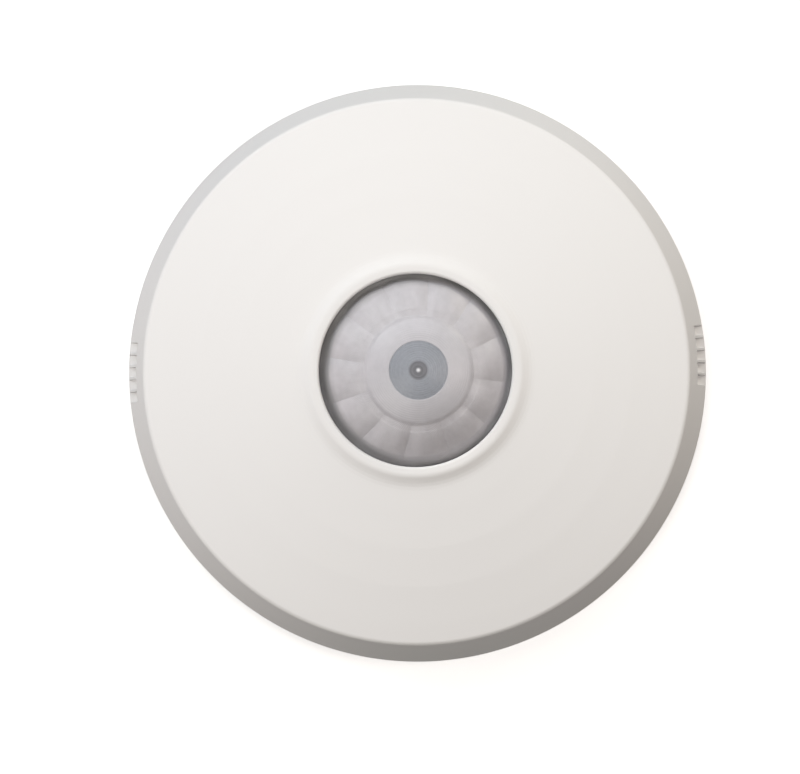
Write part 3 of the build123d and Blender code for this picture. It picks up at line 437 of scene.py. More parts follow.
def add_disc(bm, x, y, radius, low, high, soft, columns=32):
    """Upright cylinder, with softened ends."""
    outline = rounded([(0, low, 0), (radius, low, soft), (radius, high, soft), (0, high, 0)], step=20.0)
    add_lathe(bm, outline, even(columns), (x, y))


def add_tube(bm, x, y, inner, outer, low, high, soft=0.02, columns=40):
    """Upright tube."""
    corners = [(inner, low, soft), (outer, low, soft), (outer, high, soft), (inner, high, soft)]
    add_lathe(bm, rounded(corners, step=30.0), even(columns), (x, y))


def placed(points, place, turn):
    """Flat points turned and moved."""
    spin = Matrix.Rotation(math.radians(turn), 2)
    return [spin @ Vector(point) + Vector(place) for point in points]


def add_prism(bm, points, low, high, place=(0.0, 0.0), turn=0.0):
    """Upright prism on a flat outline."""
    moved = placed(points, place, turn)
    add_rings(bm, [[(p.x, p.y, z) for p in moved] for z in (low, high)])


def add_block(bm, x, y, length, width, low, high, turn=0.0, soft=0.0):
    """Upright block, with softened top edges where soft is given."""
    levels = [(0.0, low), (0.0, high)]
    if soft:
        levels = [(0.0, low), (0.0, high - soft), (0.3 * soft, high - 0.3 * soft), (soft, high)]
    rings = []
    for inset, z in levels:
        a, b = length / 2 - inset, width / 2 - inset
        moved = placed([(-a, -b), (a, -b), (a, b), (-a, b)], (x, y), turn)
        rings.append([(p.x, p.y, z) for p in moved])
    add_rings(bm, rings)


def add_plate(bm, outline, near, far, angle):
    """Upright plate on an outline of run and height. The run is along an angle, near and far to its left."""
    rings = []
    for side in (near, far):
        moved = placed([(run, side) for run, _ in outline], (0.0, 0.0), angle)
        rings.append([(p.x, p.y, z) for p, (_, z) in zip(moved, outline)])
    add_rings(bm, rings)


def sector_points(inner, outer, middle, width, steps=12):
    """Flat outline of a piece of a ring."""
    angles = [middle + width * (index / steps - 0.5) for index in range(steps + 1)]
    return [polar(outer, angle) for angle in angles] + [polar(inner, angle) for angle in reversed(angles)]


def slot_points(length, width, steps=16):
    """Flat outline of a slot with round ends, long along X."""
    half = (length - width) / 2
    points = []
    for side, start in ((1, -90), (-1, 90)):
        for index in range(steps + 1):
            x, y = polar(width / 2, start + 180 * index / steps)
            points.append((side * half + x, y))
    return points


def add_ribbon(bm, points, width, low, high):
    """Flat strip along a route, mitred at its bends."""
    route = [Vector(point) for point in points]
    left, right = [], []
    for index, here in enumerate(route):
        into = (here - route[index - 1]).normalized() if index else (route[1] - here).normalized()
        out = (route[index + 1] - here).normalized() if index + 1 < len(route) else into
        across = Vector((-(into + out).y, (into + out).x)).normalized()
        reach = width / 2 / max(0.5, across.dot(Vector((-into.y, into.x))))
        left.append(here + across * reach)
        right.append(here - across * reach)
    add_prism(bm, right + left[::-1], low, high)


def mark_shading(bm, sharp):
    """Smooth faces with sharp edges where the surface turns by more than an angle in degrees."""
    for face in bm.faces:
        face.smooth = True
    for edge in bm.edges:
        if len(edge.link_faces) == 2:
            edge.smooth = edge.calc_face_angle(0.0) < math.radians(sharp)


def bare_object(name, bm):
    """Object of a mesh in millimetres, linked to the scene."""
    bmesh.ops.remove_doubles(bm, verts=bm.verts, dist=WELD)
    bmesh.ops.recalc_face_normals(bm, faces=bm.faces)
    mesh = bpy.data.meshes.new(name)
    bm.to_mesh(mesh)
    bm.free()
    piece = bpy.data.objects.new(name, mesh)
    bpy.context.scene.collection.objects.link(piece)
    return piece


def boolean(piece, tool_mesh, operation):
    """Joins a mesh to a piece or cuts it away."""
    tool = bare_object("tool", tool_mesh)
    modifier = piece.modifiers.new("boolean", "BOOLEAN")
    modifier.object = tool
    modifier.operation = operation
    modifier.solver = "MANIFOLD"
    graph = bpy.context.evaluated_depsgraph_get()
    mesh = bpy.data.meshes.new_from_object(piece.evaluated_get(graph))
    piece.modifiers.clear()
    piece.data = mesh
    bpy.data.objects.remove(tool)


def finish_piece(piece, material, body="base", sharp=32.0, replaces=()):
    """Scales a piece to metres, shades it, and says what it rides on."""
    bm = bmesh.new()
    bm.from_mesh(piece.data)
    bmesh.ops.scale(bm, vec=(MM, MM, MM), verts=bm.verts)
    mark_shading(bm, sharp)
    bm.to_mesh(piece.data)
    bm.free()
    piece.data.materials.append(MATERIALS[material])
    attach(piece, body)
    if replaces:
        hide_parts(*replaces)
    return piece


def islands(node):
    """Corners of each separate solid of a CAD node, in millimetres, in a fixed order."""
    mesh = frame["nodes"][node].data
    keys = {}
    owner = []
    for vertex in mesh.vertices:
        key = tuple(round(c, 6) for c in vertex.co)
        owner.append(keys.setdefault(key, len(keys)))
    root = list(range(len(keys)))

    def find(item):
        while root[item] != item:
            root[item] = root[root[item]]
            item = root[item]
        return item

    for polygon in mesh.polygons:
        corners = [find(owner[index]) for index in polygon.vertices]
        for corner in corners[1:]:
            root[find(corner)] = find(corners[0])
    groups = {}
    for key, index in keys.items():
        groups.setdefault(find(index), []).append(key)
    solids = [np.array(group) / MM for group in groups.values()]
    return sorted(solids, key=lambda solid: tuple(solid.mean(axis=0).round(2)))


# Materials

class Recipe:
    """A material's node tree, with short calls for what the materials share. Lengths are in millimetres."""

    def __init__(self, name, color, roughness, metallic=0.0):
        self.name = name
        self.material = bpy.data.materials.new(name)
        self.material.use_nodes = True
        self.tree = self.material.node_tree
        self.shader = self.tree.nodes["Principled BSDF"]
        self.shader.inputs["Base Color"].default_value = (*color, 1.0)
        self.shader.inputs["Roughness"].default_value = roughness
        self.shader.inputs["Metallic"].default_value = metallic
        coordinates = self.tree.nodes.new("ShaderNodeTexCoord")
        self.place = self.scaled(coordinates.outputs["Object"], 1 / MM)
        self.normal = None

    def node(self, kind, **values):
        made = self.tree.nodes.new(kind)
        for key, value in values.items():
            setattr(made, key, value)
        return made

    def feed(self, socket, value):
        if isinstance(value, bpy.types.NodeSocket):
            self.tree.links.new(value, socket)
        else:
            socket.default_value = value

    def math(self, operation, *values):
        made = self.node("ShaderNodeMath", operation=operation)
        for socket, value in zip(made.inputs, values):
            self.feed(socket, value)
        return made.outputs[0]

    def scaled(self, vector, scale):
        made = self.node("ShaderNodeVectorMath", operation="SCALE")
        self.feed(made.inputs[0], vector)
        self.feed(made.inputs["Scale"], scale)
        return made.outputs[0]

    def distance(self, x, y):
        squares = self.math("ADD", self.math("MULTIPLY", x, x), self.math("MULTIPLY", y, y))
        return self.math("SQRT", squares)

    def wave(self, value, pitch, operation="SINE"):
        return self.math(operation, self.math("MULTIPLY", value, math.tau / pitch))

    def axes(self):
        made = self.node("ShaderNodeSeparateXYZ")
        self.feed(made.inputs[0], self.place)
        return made.outputs

    def about(self, centre):
        """Place across and place along from an upright axis, and distance from it."""
        x, y, _ = self.axes()
        x = self.math("SUBTRACT", x, centre.x)
        y = self.math("SUBTRACT", y, centre.y)
        return x, y, self.distance(x, y)

    def noise(self, size, detail=3.0, vector=None):
        """Noise with features of about a size in millimetres."""
        made = self.node("ShaderNodeTexNoise")
        self.feed(made.inputs["Vector"], vector or self.place)
        made.inputs["Scale"].default_value = 1 / size
        made.inputs["Detail"].default_value = detail
        return made.outputs["Fac"]

    def cells(self, size):
        """Distance to the nearest of scattered points."""
        made = self.node("ShaderNodeTexVoronoi")
        self.feed(made.inputs["Vector"], self.place)
        made.inputs["Scale"].default_value = 1 / size
        return made.outputs["Distance"]

    def between(self, value, low, high, low_to=0.0, high_to=1.0):
        """Value carried from one range to another, and kept inside it."""
        made = self.node("ShaderNodeMapRange", clamp=True)
        for socket, number in zip(made.inputs, (value, low, high, low_to, high_to)):
            self.feed(socket, number)
        return made.outputs[0]

    def spread(self, noise, low_to=0.0, high_to=1.0):
        """Noise's usual range carried to another."""
        return self.between(noise, *NOISE_RANGE, low_to, high_to)

    def mix(self, share, first, second):
        made = self.node("ShaderNodeMix", data_type="RGBA")
        self.feed(made.inputs["Factor"], share)
        self.feed(made.inputs[6], first)
        self.feed(made.inputs[7], second)
        return made.outputs[2]

    def shades(self, share, color, at_low, at_high):
        """Color times one amount where the share is 0, and times another where it is 1."""
        return self.mix(share, tint(color, at_low), tint(color, at_high))

    def paint(self, value):
        self.feed(self.shader.inputs["Base Color"], value)

    def polish(self, value):
        self.feed(self.shader.inputs["Roughness"], value)

    def bump(self, height, depth):
        """Adds relief of a depth in millimetres."""
        made = self.node("ShaderNodeBump")
        made.inputs["Strength"].default_value = 1.0
        made.inputs["Distance"].default_value = depth * MM
        self.feed(made.inputs["Height"], height)
        if self.normal is not None:
            self.feed(made.inputs["Normal"], self.normal)
        self.normal = made.outputs["Normal"]
        self.feed(self.shader.inputs["Normal"], self.normal)


def tint(color, amount=1.0):
    """Color made darker or lighter."""
    return tuple(min(1.0, channel * amount) for channel in color) + (1.0,)


def moulded(name, color, roughness, grain=0.35, depth=0.006, cloud=0.02):
    """Moulded plastic: spark-eroded grain, faint clouds of colour, patches of gloss."""
    recipe = Recipe(name, color, roughness)
    recipe.paint(recipe.shades(recipe.noise(size=9.0, detail=4.0), color, 1 - cloud, 1 + cloud))
    recipe.polish(recipe.spread(recipe.noise(size=3.0), roughness - PATCH_GLOSS, roughness + PATCH_GLOSS))
    recipe.bump(recipe.noise(size=grain, detail=2.0), depth)
    return recipe


def metal(name, color, roughness, depth=0.002):
    """Plated or bare metal with fine marks and faint stains."""
    recipe = Recipe(name, color, roughness, metallic=1.0)
    marks = recipe.noise(size=0.12, detail=4.0)
    recipe.paint(recipe.shades(recipe.noise(size=1.5), color, at_low=0.88, at_high=1.08))
    recipe.polish(recipe.spread(marks, low_to=0.7 * roughness, high_to=1.4 * roughness))
    recipe.bump(marks, depth)
    return recipe


def clear(name, color, roughness, transmission, ior=1.5):
    """Tinted clear plastic."""
    recipe = Recipe(name, color, roughness)
    recipe.shader.inputs["Transmission Weight"].default_value = transmission
    recipe.shader.inputs["IOR"].default_value = ior
    recipe.paint(recipe.shades(recipe.noise(size=0.8), color, at_low=0.85, at_high=1.15))
    recipe.bump(recipe.noise(size=0.5), depth=0.002)
    return recipe


def cover_plastic():
    recipe = moulded("cover_plastic", (0.80, 0.787, 0.765), 0.42, grain=0.28, depth=0.005, cloud=0.006)
    recipe.bump(recipe.cells(size=0.22), depth=0.003)
    return recipe


def lens_tiers(recipe, x, y, radius):
    """Milky colour of both tiers, with clouds in both and streaks out from the middle in the outer one."""
    spread = recipe.node("ShaderNodeCombineXYZ")
    for socket, axis in zip(spread.inputs, (x, y)):
        recipe.feed(socket, recipe.math("DIVIDE", recipe.math("MULTIPLY", axis, STREAKS_ROUND), radius))
    recipe.feed(spread.inputs[2], recipe.math("MULTIPLY", radius, STREAKS_OUT))
    streaks = recipe.spread(recipe.noise(size=1.0, vector=spread.outputs[0]), high_to=0.5)
    clouds = recipe.spread(recipe.noise(size=1.5, detail=5.0), high_to=0.5)
    outer = recipe.shades(recipe.math("ADD", streaks, clouds), LENS_COLOR, at_low=0.915, at_high=1.085)
    inner = recipe.shades(clouds, LENS_INNER_COLOR, at_low=0.97, at_high=1.09)
    return recipe.mix(recipe.between(radius, *TIER_FADE_R), inner, outer)


def lens_color(recipe, x, y, radius):
    """Tiers, with the disc and ringed spot laid over their middle, a painted highlight on the nub at the
    very middle, and painted shade darkening the rim towards their edge.
    """
    color = lens_tiers(recipe, x, y, radius)
    ripple = recipe.between(recipe.wave(radius, SPOT_RING, "COSINE"), -1.0, 1.0)
    blotches = recipe.spread(recipe.noise(size=0.6, detail=4.0), high_to=0.4)
    tone = recipe.math("ADD", blotches, recipe.between(radius, SPOT_R, DISC_R, high_to=0.45))
    tone = recipe.math("ADD", tone, recipe.math("MULTIPLY", ripple, DISC_RIPPLE_SHARE))
    # Over the middle: the disc and the ringed spot, darker over the sensor, and a painted highlight on the
    # nub
    middle = (
        (DISC_FADE_R, recipe.shades(tone, LENS_DISC_COLOR, at_low=1.16, at_high=0.90)),
        (SPOT_FADE_R, recipe.shades(ripple, LENS_SPOT_COLOR, at_low=1.12, at_high=0.92)),
        (NUB_HIGHLIGHT_FADE_R, tint(LENS_NUB_HIGHLIGHT_COLOR)),
    )
    for fade, inside in middle:
        color = recipe.mix(recipe.between(radius, *fade), inside, color)
    # Painted shade: darker towards the rim, about a centre set off to one side
    shade_radius = recipe.about(RIM_SHADE_SHIFT)[2]
    for fade, outside in ((RIM_SHADE_FADE_R, LENS_RIM_SHADE_COLOR), (EDGE_SHADE_FADE_R, LENS_EDGE_SHADE_COLOR)):
        color = recipe.mix(recipe.between(shade_radius, *fade), color, tint(outside))
    return color


def lens_grooves(recipe, x, y, radius):
    """Rings about the middle, and about a point in each outer segment."""
    step = math.tau / SEGMENTS
    angle = recipe.math("ADD", recipe.math("ARCTAN2", y, x), math.tau - math.radians(SEGMENT_TURN))
    folded = recipe.math("SUBTRACT", recipe.math("MODULO", angle, step), step / 2)
    across = recipe.math("MULTIPLY", radius, recipe.math("SINE", folded))
    along = recipe.math("MULTIPLY", radius, recipe.math("COSINE", folded))
    reach = recipe.distance(across, recipe.math("SUBTRACT", along, LENSLET_R))
    outside = recipe.between(radius, *LENSLET_FADE_R)
    return recipe.mix(outside, recipe.wave(radius, GROOVE_PITCH), recipe.wave(reach, LENSLET_PITCH))


def lens_plastic():
    """Milky sheet, darker over the sensor, with painted shade towards its edge where it dips into the gap
    under the lip, partly the black frame seen through.
    """
    recipe = Recipe("lens_plastic", LENS_COLOR, roughness=0.36)
    x, y, radius = recipe.about(LENS_SHIFT)
    recipe.paint(lens_color(recipe, x, y, radius))
    recipe.bump(lens_grooves(recipe, x, y, radius), depth=0.008)
    recipe.bump(recipe.noise(size=0.25), depth=0.003)
    recipe.shader.inputs["Subsurface Weight"].default_value = LENS_SCATTER
    recipe.shader.inputs["Subsurface Radius"].default_value = LENS_SCATTER_RADIUS
    recipe.shader.inputs["Subsurface Scale"].default_value = MM
    return recipe


def board_laminate():
    """Green solder mask over glass cloth, with the cloth showing faintly."""
    recipe = Recipe("board_laminate", BOARD_COLOR, roughness=0.28)
    x, y, _ = recipe.axes()
    weave = recipe.math("MULTIPLY", recipe.wave(x, CLOTH_PITCH), recipe.wave(y, CLOTH_PITCH))
    cloth = recipe.between(weave, -1.0, 1.0, high_to=0.35)
    clouds = recipe.spread(recipe.noise(size=6.0), high_to=0.5)
    recipe.paint(recipe.shades(recipe.math("ADD", cloth, clouds), BOARD_COLOR, at_low=0.8, at_high=1.35))
    recipe.polish(recipe.spread(recipe.noise(size=1.2), low_to=0.2, high_to=0.36))
    recipe.bump(weave, depth=0.004)
    return recipe


RECIPES = (
    cover_plastic(),
    lens_plastic(),
    board_laminate(),
    clear("led_epoxy", (0.62, 0.02, 0.015), 0.12, 0.6),
    moulded("base_plastic", (0.76, 0.75, 0.725), 0.48, grain=0.4, depth=0.008),
    moulded("frame_plastic", (0.02, 0.02, 0.021), 0.5),
    moulded("black_plastic", (0.022, 0.022, 0.023), 0.55, grain=0.12, depth=0.01),
    moulded("spacer_plastic", (0.78, 0.77, 0.72), 0.45),
    moulded("terminal_plastic", (0.02, 0.17, 0.06), 0.42, grain=0.2),
    moulded("plunger_plastic", (0.74, 0.72, 0.66), 0.4, grain=0.2, depth=0.003),
    moulded("capacitor_sleeve", (0.012, 0.016, 0.045), 0.25, depth=0.002),
    moulded("varistor_coating", (0.02, 0.07, 0.3), 0.3, grain=0.5, depth=0.02),
    moulded("resistor_ceramic", (0.015, 0.015, 0.016), 0.35, grain=0.1),
    moulded("capacitor_ceramic", (0.36, 0.24, 0.13), 0.4, grain=0.1),
    moulded("trimmer_plastic", (0.02, 0.08, 0.34), 0.4, grain=0.2),
    moulded("rotor_plastic", (0.75, 0.74, 0.68), 0.4, grain=0.2, depth=0.003),
    moulded("switch_plastic", (0.42, 0.015, 0.012), 0.4, grain=0.2),
    moulded("slider_plastic", (0.78, 0.77, 0.72), 0.4, grain=0.2, depth=0.003),
    moulded("print_white", (0.74, 0.74, 0.72), 0.6, grain=0.15, depth=0.004),
    moulded("mask_track", (0.03, 0.2, 0.07), 0.26, grain=0.8, depth=0.004),
    metal("screw_steel", (0.62, 0.62, 0.6), 0.3),
    metal("sensor_nickel", (0.66, 0.63, 0.57), 0.28),
    metal("sensor_window", (0.1, 0.1, 0.12), 0.12, depth=0.0005),
    metal("lead_tin", (0.7, 0.7, 0.69), 0.32),
    metal("terminal_metal", (0.64, 0.63, 0.6), 0.3),
    metal("spring_steel", (0.5, 0.5, 0.5), 0.25),
    metal("capacitor_top", (0.7, 0.7, 0.7), 0.35),
    metal("solder", (0.66, 0.67, 0.68), 0.22),
)
MATERIALS = {recipe.name: recipe.material for recipe in RECIPES}


# Cover

def side_radius(z):
    return COVER_R - (z - LAND_TOP) / (EDGE_Z - LAND_TOP) * (COVER_R - EDGE_R)


def grip_angles():
    """Middle of each notch."""
    step = math.degrees(GRIP_PITCH / COVER_R)
    offsets = [(index - (GRIP_COUNT - 1) / 2) * step for index in range(GRIP_COUNT)]
    return [middle + offset for middle in GRIP_MIDDLES for offset in offsets]


def grip_depth(angle):
    """How far into a notch an angle is, from 0 outside to 1 inside."""
    away = min(angle_apart(angle, middle) for middle in grip_angles())
    return smooth_step(GRIP_HALF - away, -GRIP_SOFTNESS, GRIP_SOFTNESS)


def cover_columns():
    """Even columns, with close ones at each side of each notch."""
    edges = [middle + side * GRIP_HALF for middle in grip_angles() for side in (-1, 1)]
    close = [edge + GRIP_SOFTNESS * share for edge in edges for share in GRIP_EDGE_SHARES]
    clear = 2 * GRIP_SOFTNESS
    spaced = [a for a in even(COVER_COLUMNS) if min(angle_apart(a, edge) for edge in edges) > clear]
    return sorted(angle % 360 for angle in close + spaced)


def notch(r, z, angle):
    """Moves the side wall in where a notch is, down to a foot that slopes at 45 degrees."""
    floor_r = max(GRIP_R, side_radius(GRIP_FLOOR) - (z - GRIP_FLOOR))
    if z > GRIP_FLOOR and r > floor_r and r > side_radius(z) - SIDE_TOLERANCE:
        r -= grip_depth(angle) * (r - floor_r)
    return r, z


def cover_outline():
    foot_top = GRIP_FLOOR + side_radius(GRIP_FLOOR) - GRIP_R
    notch_top = LAND_TOP + (COVER_R - GRIP_R) / (COVER_R - EDGE_R) * (EDGE_Z - LAND_TOP)
    return rounded([
        (COVER_R, COVER_BOTTOM, 0.25),
        (COVER_R, LAND_TOP, 0.3),
        (side_radius(GRIP_FLOOR), GRIP_FLOOR, 0),
        (side_radius(foot_top), foot_top, 0),
        (GRIP_R, notch_top, 0),
        (EDGE_R, EDGE_Z, 1.2),
        (CROWN_R, CROWN_Z, CROWN_BEND),
        (LIP_FOOT_R, LIP_FOOT_Z, 5.0),
        (LIP_OUT_R, LIP_TOP, 2.0),
        (BORE_R, LIP_TOP, 0.55),
        (BORE_R, LEDGE_Z, 0.1),
        (POCKET_R, LEDGE_Z, 0),
        (POCKET_R, COLLAR_BOTTOM, 0.1),
        (COLLAR_R, COLLAR_BOTTOM, 0.1),
        (COLLAR_R, LIP_FOOT_Z - WALL, 0.3),
        (CROWN_R - WALL / 4, CROWN_Z - WALL, CROWN_BEND),
        (side_radius(EDGE_Z - WALL) - SIDE_WALL, EDGE_Z - WALL, 0.8),
        (COVER_R - SIDE_WALL, LAND_TOP, 0),
        (COVER_R - SIDE_WALL, COVER_BOTTOM, 0.2),
    ])


def add_face_rib(bm, angle):
    """Low radial rib under the face."""
    inner_r = COLLAR_R - RIB_OVERLAP
    outer_r = EDGE_R - 2 * WALL
    outline = [
        (inner_r, LIP_FOOT_Z - WALL / 2),
        (inner_r, LIP_FOOT_Z - WALL - RIB_DEPTH),
        (CROWN_R, CROWN_Z - WALL - RIB_DEPTH),
        (outer_r, EDGE_Z - WALL - RIB_END_DEPTH),
        (outer_r, EDGE_Z - WALL / 2),
        (CROWN_R, CROWN_Z - WALL / 2),
    ]
    add_plate(bm, outline, -RIB_THICK / 2, RIB_THICK / 2, angle)


def add_screw_post(bm, angle):
    """Blind post for a screw of the lens retainer."""
    outline = rounded([
        (POST_HOLE_R, POST_LOW, 0.05),
        (POST_R, POST_LOW, 0.1),
        (POST_R, POST_TOP, 0),
        (0, POST_TOP, 0),
        (0, POST_HOLE_TOP, 0),
        (POST_HOLE_R, POST_HOLE_TOP, 0),
    ], step=30.0)
    add_lathe(bm, outline, even(40), polar(POST_PLACE_R, angle))


def add_tamper_ramp(bm):
    """Ramp under the face, across the tamper plunger's path."""
    reach = RAMP_MIDDLE_R * math.sin(math.radians(TWIST / 2))
    outline = [
        (-RAMP_END, RAMP_ROOT),
        (-RAMP_END, RAMP_HIGH + RAMP_LEAD),
        (-reach, RAMP_HIGH),
        (reach, RAMP_LOW),
        (RAMP_END, RAMP_LOW),
        (RAMP_END, RAMP_ROOT),
    ]
    near = -RAMP_MIDDLE_R - RAMP_HALF_WIDTH
    far = -RAMP_MIDDLE_R + RAMP_HALF_WIDTH
    add_plate(bm, outline, near, far, RAMP_ANGLE + TWIST / 2 + 90)


def make_cover():
    bm = bmesh.new()
    add_lathe(bm, cover_outline(), cover_columns(), shape=notch)
    cover = bare_object("cover_shell", bm)
    extras = bmesh.new()
    for angle in TAB_ANGLES:
        hook = sector_points(inner=51.9, outer=55.6, middle=angle + TWIST, width=10.0)
        add_prism(extras, hook, low=4.4, high=6.2)
    for angle in RIB_ANGLES:
        add_face_rib(extras, angle)
    for angle in POST_ANGLES:
        add_screw_post(extras, angle)
    add_tamper_ramp(extras)
    boolean(cover, extras, "UNION")
    finish_piece(cover, "cover_plastic", body="cover", replaces=["front_cover"])


# Lens

def lens_surface(r, angle):
    """Height of the lens's outside at a radius and angle."""
    height = LENS_TOP - BALL_R + math.sqrt(BALL_R ** 2 - r * r)
    if r < NUB_R:
        return height - NUB_DIP
    width = 360.0 / SEGMENTS
    fold = ((angle - SEGMENT_TURN) % width) / width * 2 - 1
    disc = DISC_LEVEL + GROOVE_HEIGHT * math.cos(math.tau * r / GROOVE_PITCH)
    swell = 1 - ((r - (DISC_R + TIER_R) / 2) / ((TIER_R - DISC_R) / 2)) ** 2
    tier = TIER_LEVEL + TIER_SWELL * max(0.0, swell)
    outer = OUTER_LEVEL + STEP_HEIGHT * smooth_step(r, *STEP_R)
    outer += (OUTER_LIFT + PILLOW * (1 - fold * fold)) * (r - TIER_R) / (LENS_R - TIER_R)
    offset = disc + (tier - disc) * smooth_step(r, *DISC_EDGE_R)
    offset += (outer - offset) * smooth_step(r, *TIER_EDGE_R)
    roll = smooth_step(r, SHOULDER_R, LENS_R)
    return height + offset + (FLANGE_HIGH + DOME_FOOT - height - offset) * roll


def lens_radii():
    """Radii of the lens's rings, close together where its surface steps."""
    radii = [start + pitch * k for start, pitch, count in LENS_RINGS for k in range(count)]
    return sorted(set(round(r, 3) for r in radii + list(LENS_EXTRA_RINGS)))


def lens_columns():
    """Even columns, with close ones beside each seam between segments."""
    width = 360.0 / SEGMENTS
    return [SEGMENT_TURN + width * (seam + share) for seam in range(SEGMENTS) for share in SEAM_SHARES]


def make_lens():
    inner_ball = BALL_R - LENS_WALL
    inner_r = LENS_R - LENS_WALL
    top = [(r, DOME_MARK) for r in lens_radii()]
    skirt = [(LENS_R + out, FLANGE_HIGH + up) for out, up in FLANGE_FILLET]
    skirt += [
        (FLANGE_R - FLANGE_SOFT, FLANGE_HIGH),
        (FLANGE_R, FLANGE_HIGH - FLANGE_SOFT),
        (FLANGE_R, FLANGE_LOW + FLANGE_SOFT),
        (FLANGE_R - FLANGE_SOFT, FLANGE_LOW),
        (inner_r, FLANGE_LOW),
    ]
    under = [inner_r * (1 - k / INNER_RINGS) for k in range(INNER_RINGS + 1)]
    inside = [(r, LENS_TOP - BALL_R + math.sqrt(inner_ball ** 2 - r * r)) for r in under]

    def shape(r, z, angle):
        return (r, lens_surface(r, angle)) if z == DOME_MARK else (r, z)

    bm = bmesh.new()
    add_lathe(bm, top + skirt + inside, lens_columns(), shape=shape)
    for vertex in bm.verts:
        shift = LENS_SHIFT.lerp(RIM_SHIFT, smooth_step(vertex.co.xy.length, *SHIFT_FADE_R))
        vertex.co += shift * smooth_step(vertex.co.z, *SHIFT_FADE_Z)
    lens = bare_object("lens_dome", bm)
    finish_piece(lens, "lens_plastic", body="lens_unit", sharp=40.0, replaces=["fresnel_lens"])


# Base

def base_outline():
    return rounded([
        (0, 0, 0),
        (BASE_R, 0, 0.5),
        (BASE_R, RIM_TOP, 0.3),
        (RIM_IN_R, RIM_TOP, 0.15),
        (RIM_IN_R, BASE_FLOOR, 0.15),
        (SPIGOT_R, BASE_FLOOR, 0.3),
        (SPIGOT_R, SPIGOT_TOP, 0.4),
        (SPIGOT_IN_R, SPIGOT_TOP, 0.4),
        (SPIGOT_IN_R, BASE_FLOOR, 0.5),
        (0, BASE_FLOOR, 0),
    ], longest=6.0)


def base_extras():
    """Bayonet tabs with their stops, and board bosses with their ribs."""
    bm = bmesh.new()
    for angle in TAB_ANGLES:
        tab = sector_points(inner=50.5, outer=TAB_R, middle=angle, width=12.0)
        add_prism(bm, tab, low=6.4, high=TAB_HIGH)
        stop = sector_points(50.6, TAB_R - STOP_INSET, middle=angle - STOP_OFFSET, width=2.0, steps=3)
        add_prism(bm, stop, low=4.4, high=TAB_HIGH - STOP_INSET)
    boss = rounded([
        (BOSS_HOLE_R, BOSS_HOLE_LOW, 0),
        (BOSS_HOLE_R, BOARD_LOW, 0.08),
        (BOSS_R, BOARD_LOW, 0.15),
        (BOSS_R, BOSS_ROOT, 0),
        (0, BOSS_ROOT, 0),
        (0, BOSS_HOLE_LOW, 0),
    ], step=30.0)
    rib_length = SPIGOT_IN_R - BOARD_SCREW_R - BOSS_R + BOSS_RIB_OVERLAP
    for angle in BOARD_SCREW_ANGLES:
        add_lathe(bm, boss, even(48), polar(BOARD_SCREW_R, angle))
        x, y = polar((SPIGOT_IN_R + BOARD_SCREW_R + BOSS_R) / 2, angle)
        add_block(bm, x, y, rib_length, width=1.2, low=1.1, high=4.5, turn=angle)
    return bm


def base_pads():
    """Raised ring, and pads round the fixing slots and the cable's entry."""
    bm = bmesh.new()
    add_tube(bm, 0, 0, inner=30.0, outer=31.2, low=1.2, high=3.8, soft=0.15, columns=144)
    for x in (-FIXING_X, FIXING_X):
        add_prism(bm, slot_points(length=14.0, width=9.4), low=1.3, high=3.0, place=(x, 0))
    add_prism(bm, slot_points(length=18.4, width=8.4), low=1.4, high=3.4, place=(0, ENTRY_Y))
    return bm


def base_cuts():
    """Fixing slots, cable entry, knock-out rings and moulding marks."""
    bm = bmesh.new()
    for x in (-FIXING_X, FIXING_X):
        add_prism(bm, slot_points(length=9.0, width=4.6), CUT_LOW, CUT_HIGH, (x, 0))
    add_prism(bm, slot_points(length=16.0, width=6.0), CUT_LOW, CUT_HIGH, (0, ENTRY_Y))
    for angle in KNOCKOUT_ANGLES:
        add_tube(bm, *polar(KNOCKOUT_R, angle), inner=2.2, outer=2.8, low=0.8, high=4.0, soft=0.1)
    for place in MARK_PLACES:
        add_disc(bm, *polar(*place), radius=2.0, low=CUT_LOW, high=0.12, soft=0.05)
    add_disc(bm, 0, 0, radius=3.2, low=CUT_LOW, high=0.3, soft=0.1)
    return bm


def make_base():
    bm = bmesh.new()
    add_lathe(bm, base_outline(), even(BASE_COLUMNS))
    base = bare_object("base_shell", bm)
    boolean(base, base_extras(), "UNION")
    boolean(base, base_pads(), "UNION")
    boolean(base, base_cuts(), "DIFFERENCE")
    finish_piece(base, "base_plastic", replaces=["back_base"])


# Board details

def round_solids(node):
    """Centre, radius and top of each separate solid of a CAD node."""
    found = []
    for solid in islands(node):
        low, high = solid.min(axis=0), solid.max(axis=0)
        x, y, _ = (low + high) / 2
        found.append((float(x), float(y), float(high[0] - low[0]) / 2, float(high[2])))
    return found


def make_solder():
    """Solder fillets round the leads under the board, and bare rings on both sides."""
    bm = bmesh.new()
    low = BOARD_LOW - COPPER
    for x, y, radius, _ in (solid for node in LEAD_NODES for solid in round_solids(node)):
        pad = radius + PAD_RING
        cone = [(radius + out, low - down) for out, down in FILLET]
        cone += [(pad, low), (pad, BOARD_LOW), (radius, BOARD_LOW)]
        add_lathe(bm, cone, even(20), (x, y))
        ring = [(radius, BOARD_TOP), (pad, BOARD_TOP), (pad, BOARD_TOP + COPPER)]
        ring += [(radius + out, BOARD_TOP + up) for out, up in TOP_FILLET]
        add_lathe(bm, ring, even(20), (x, y))
    finish_piece(bare_object("solder_joints", bm), "solder", sharp=60.0)


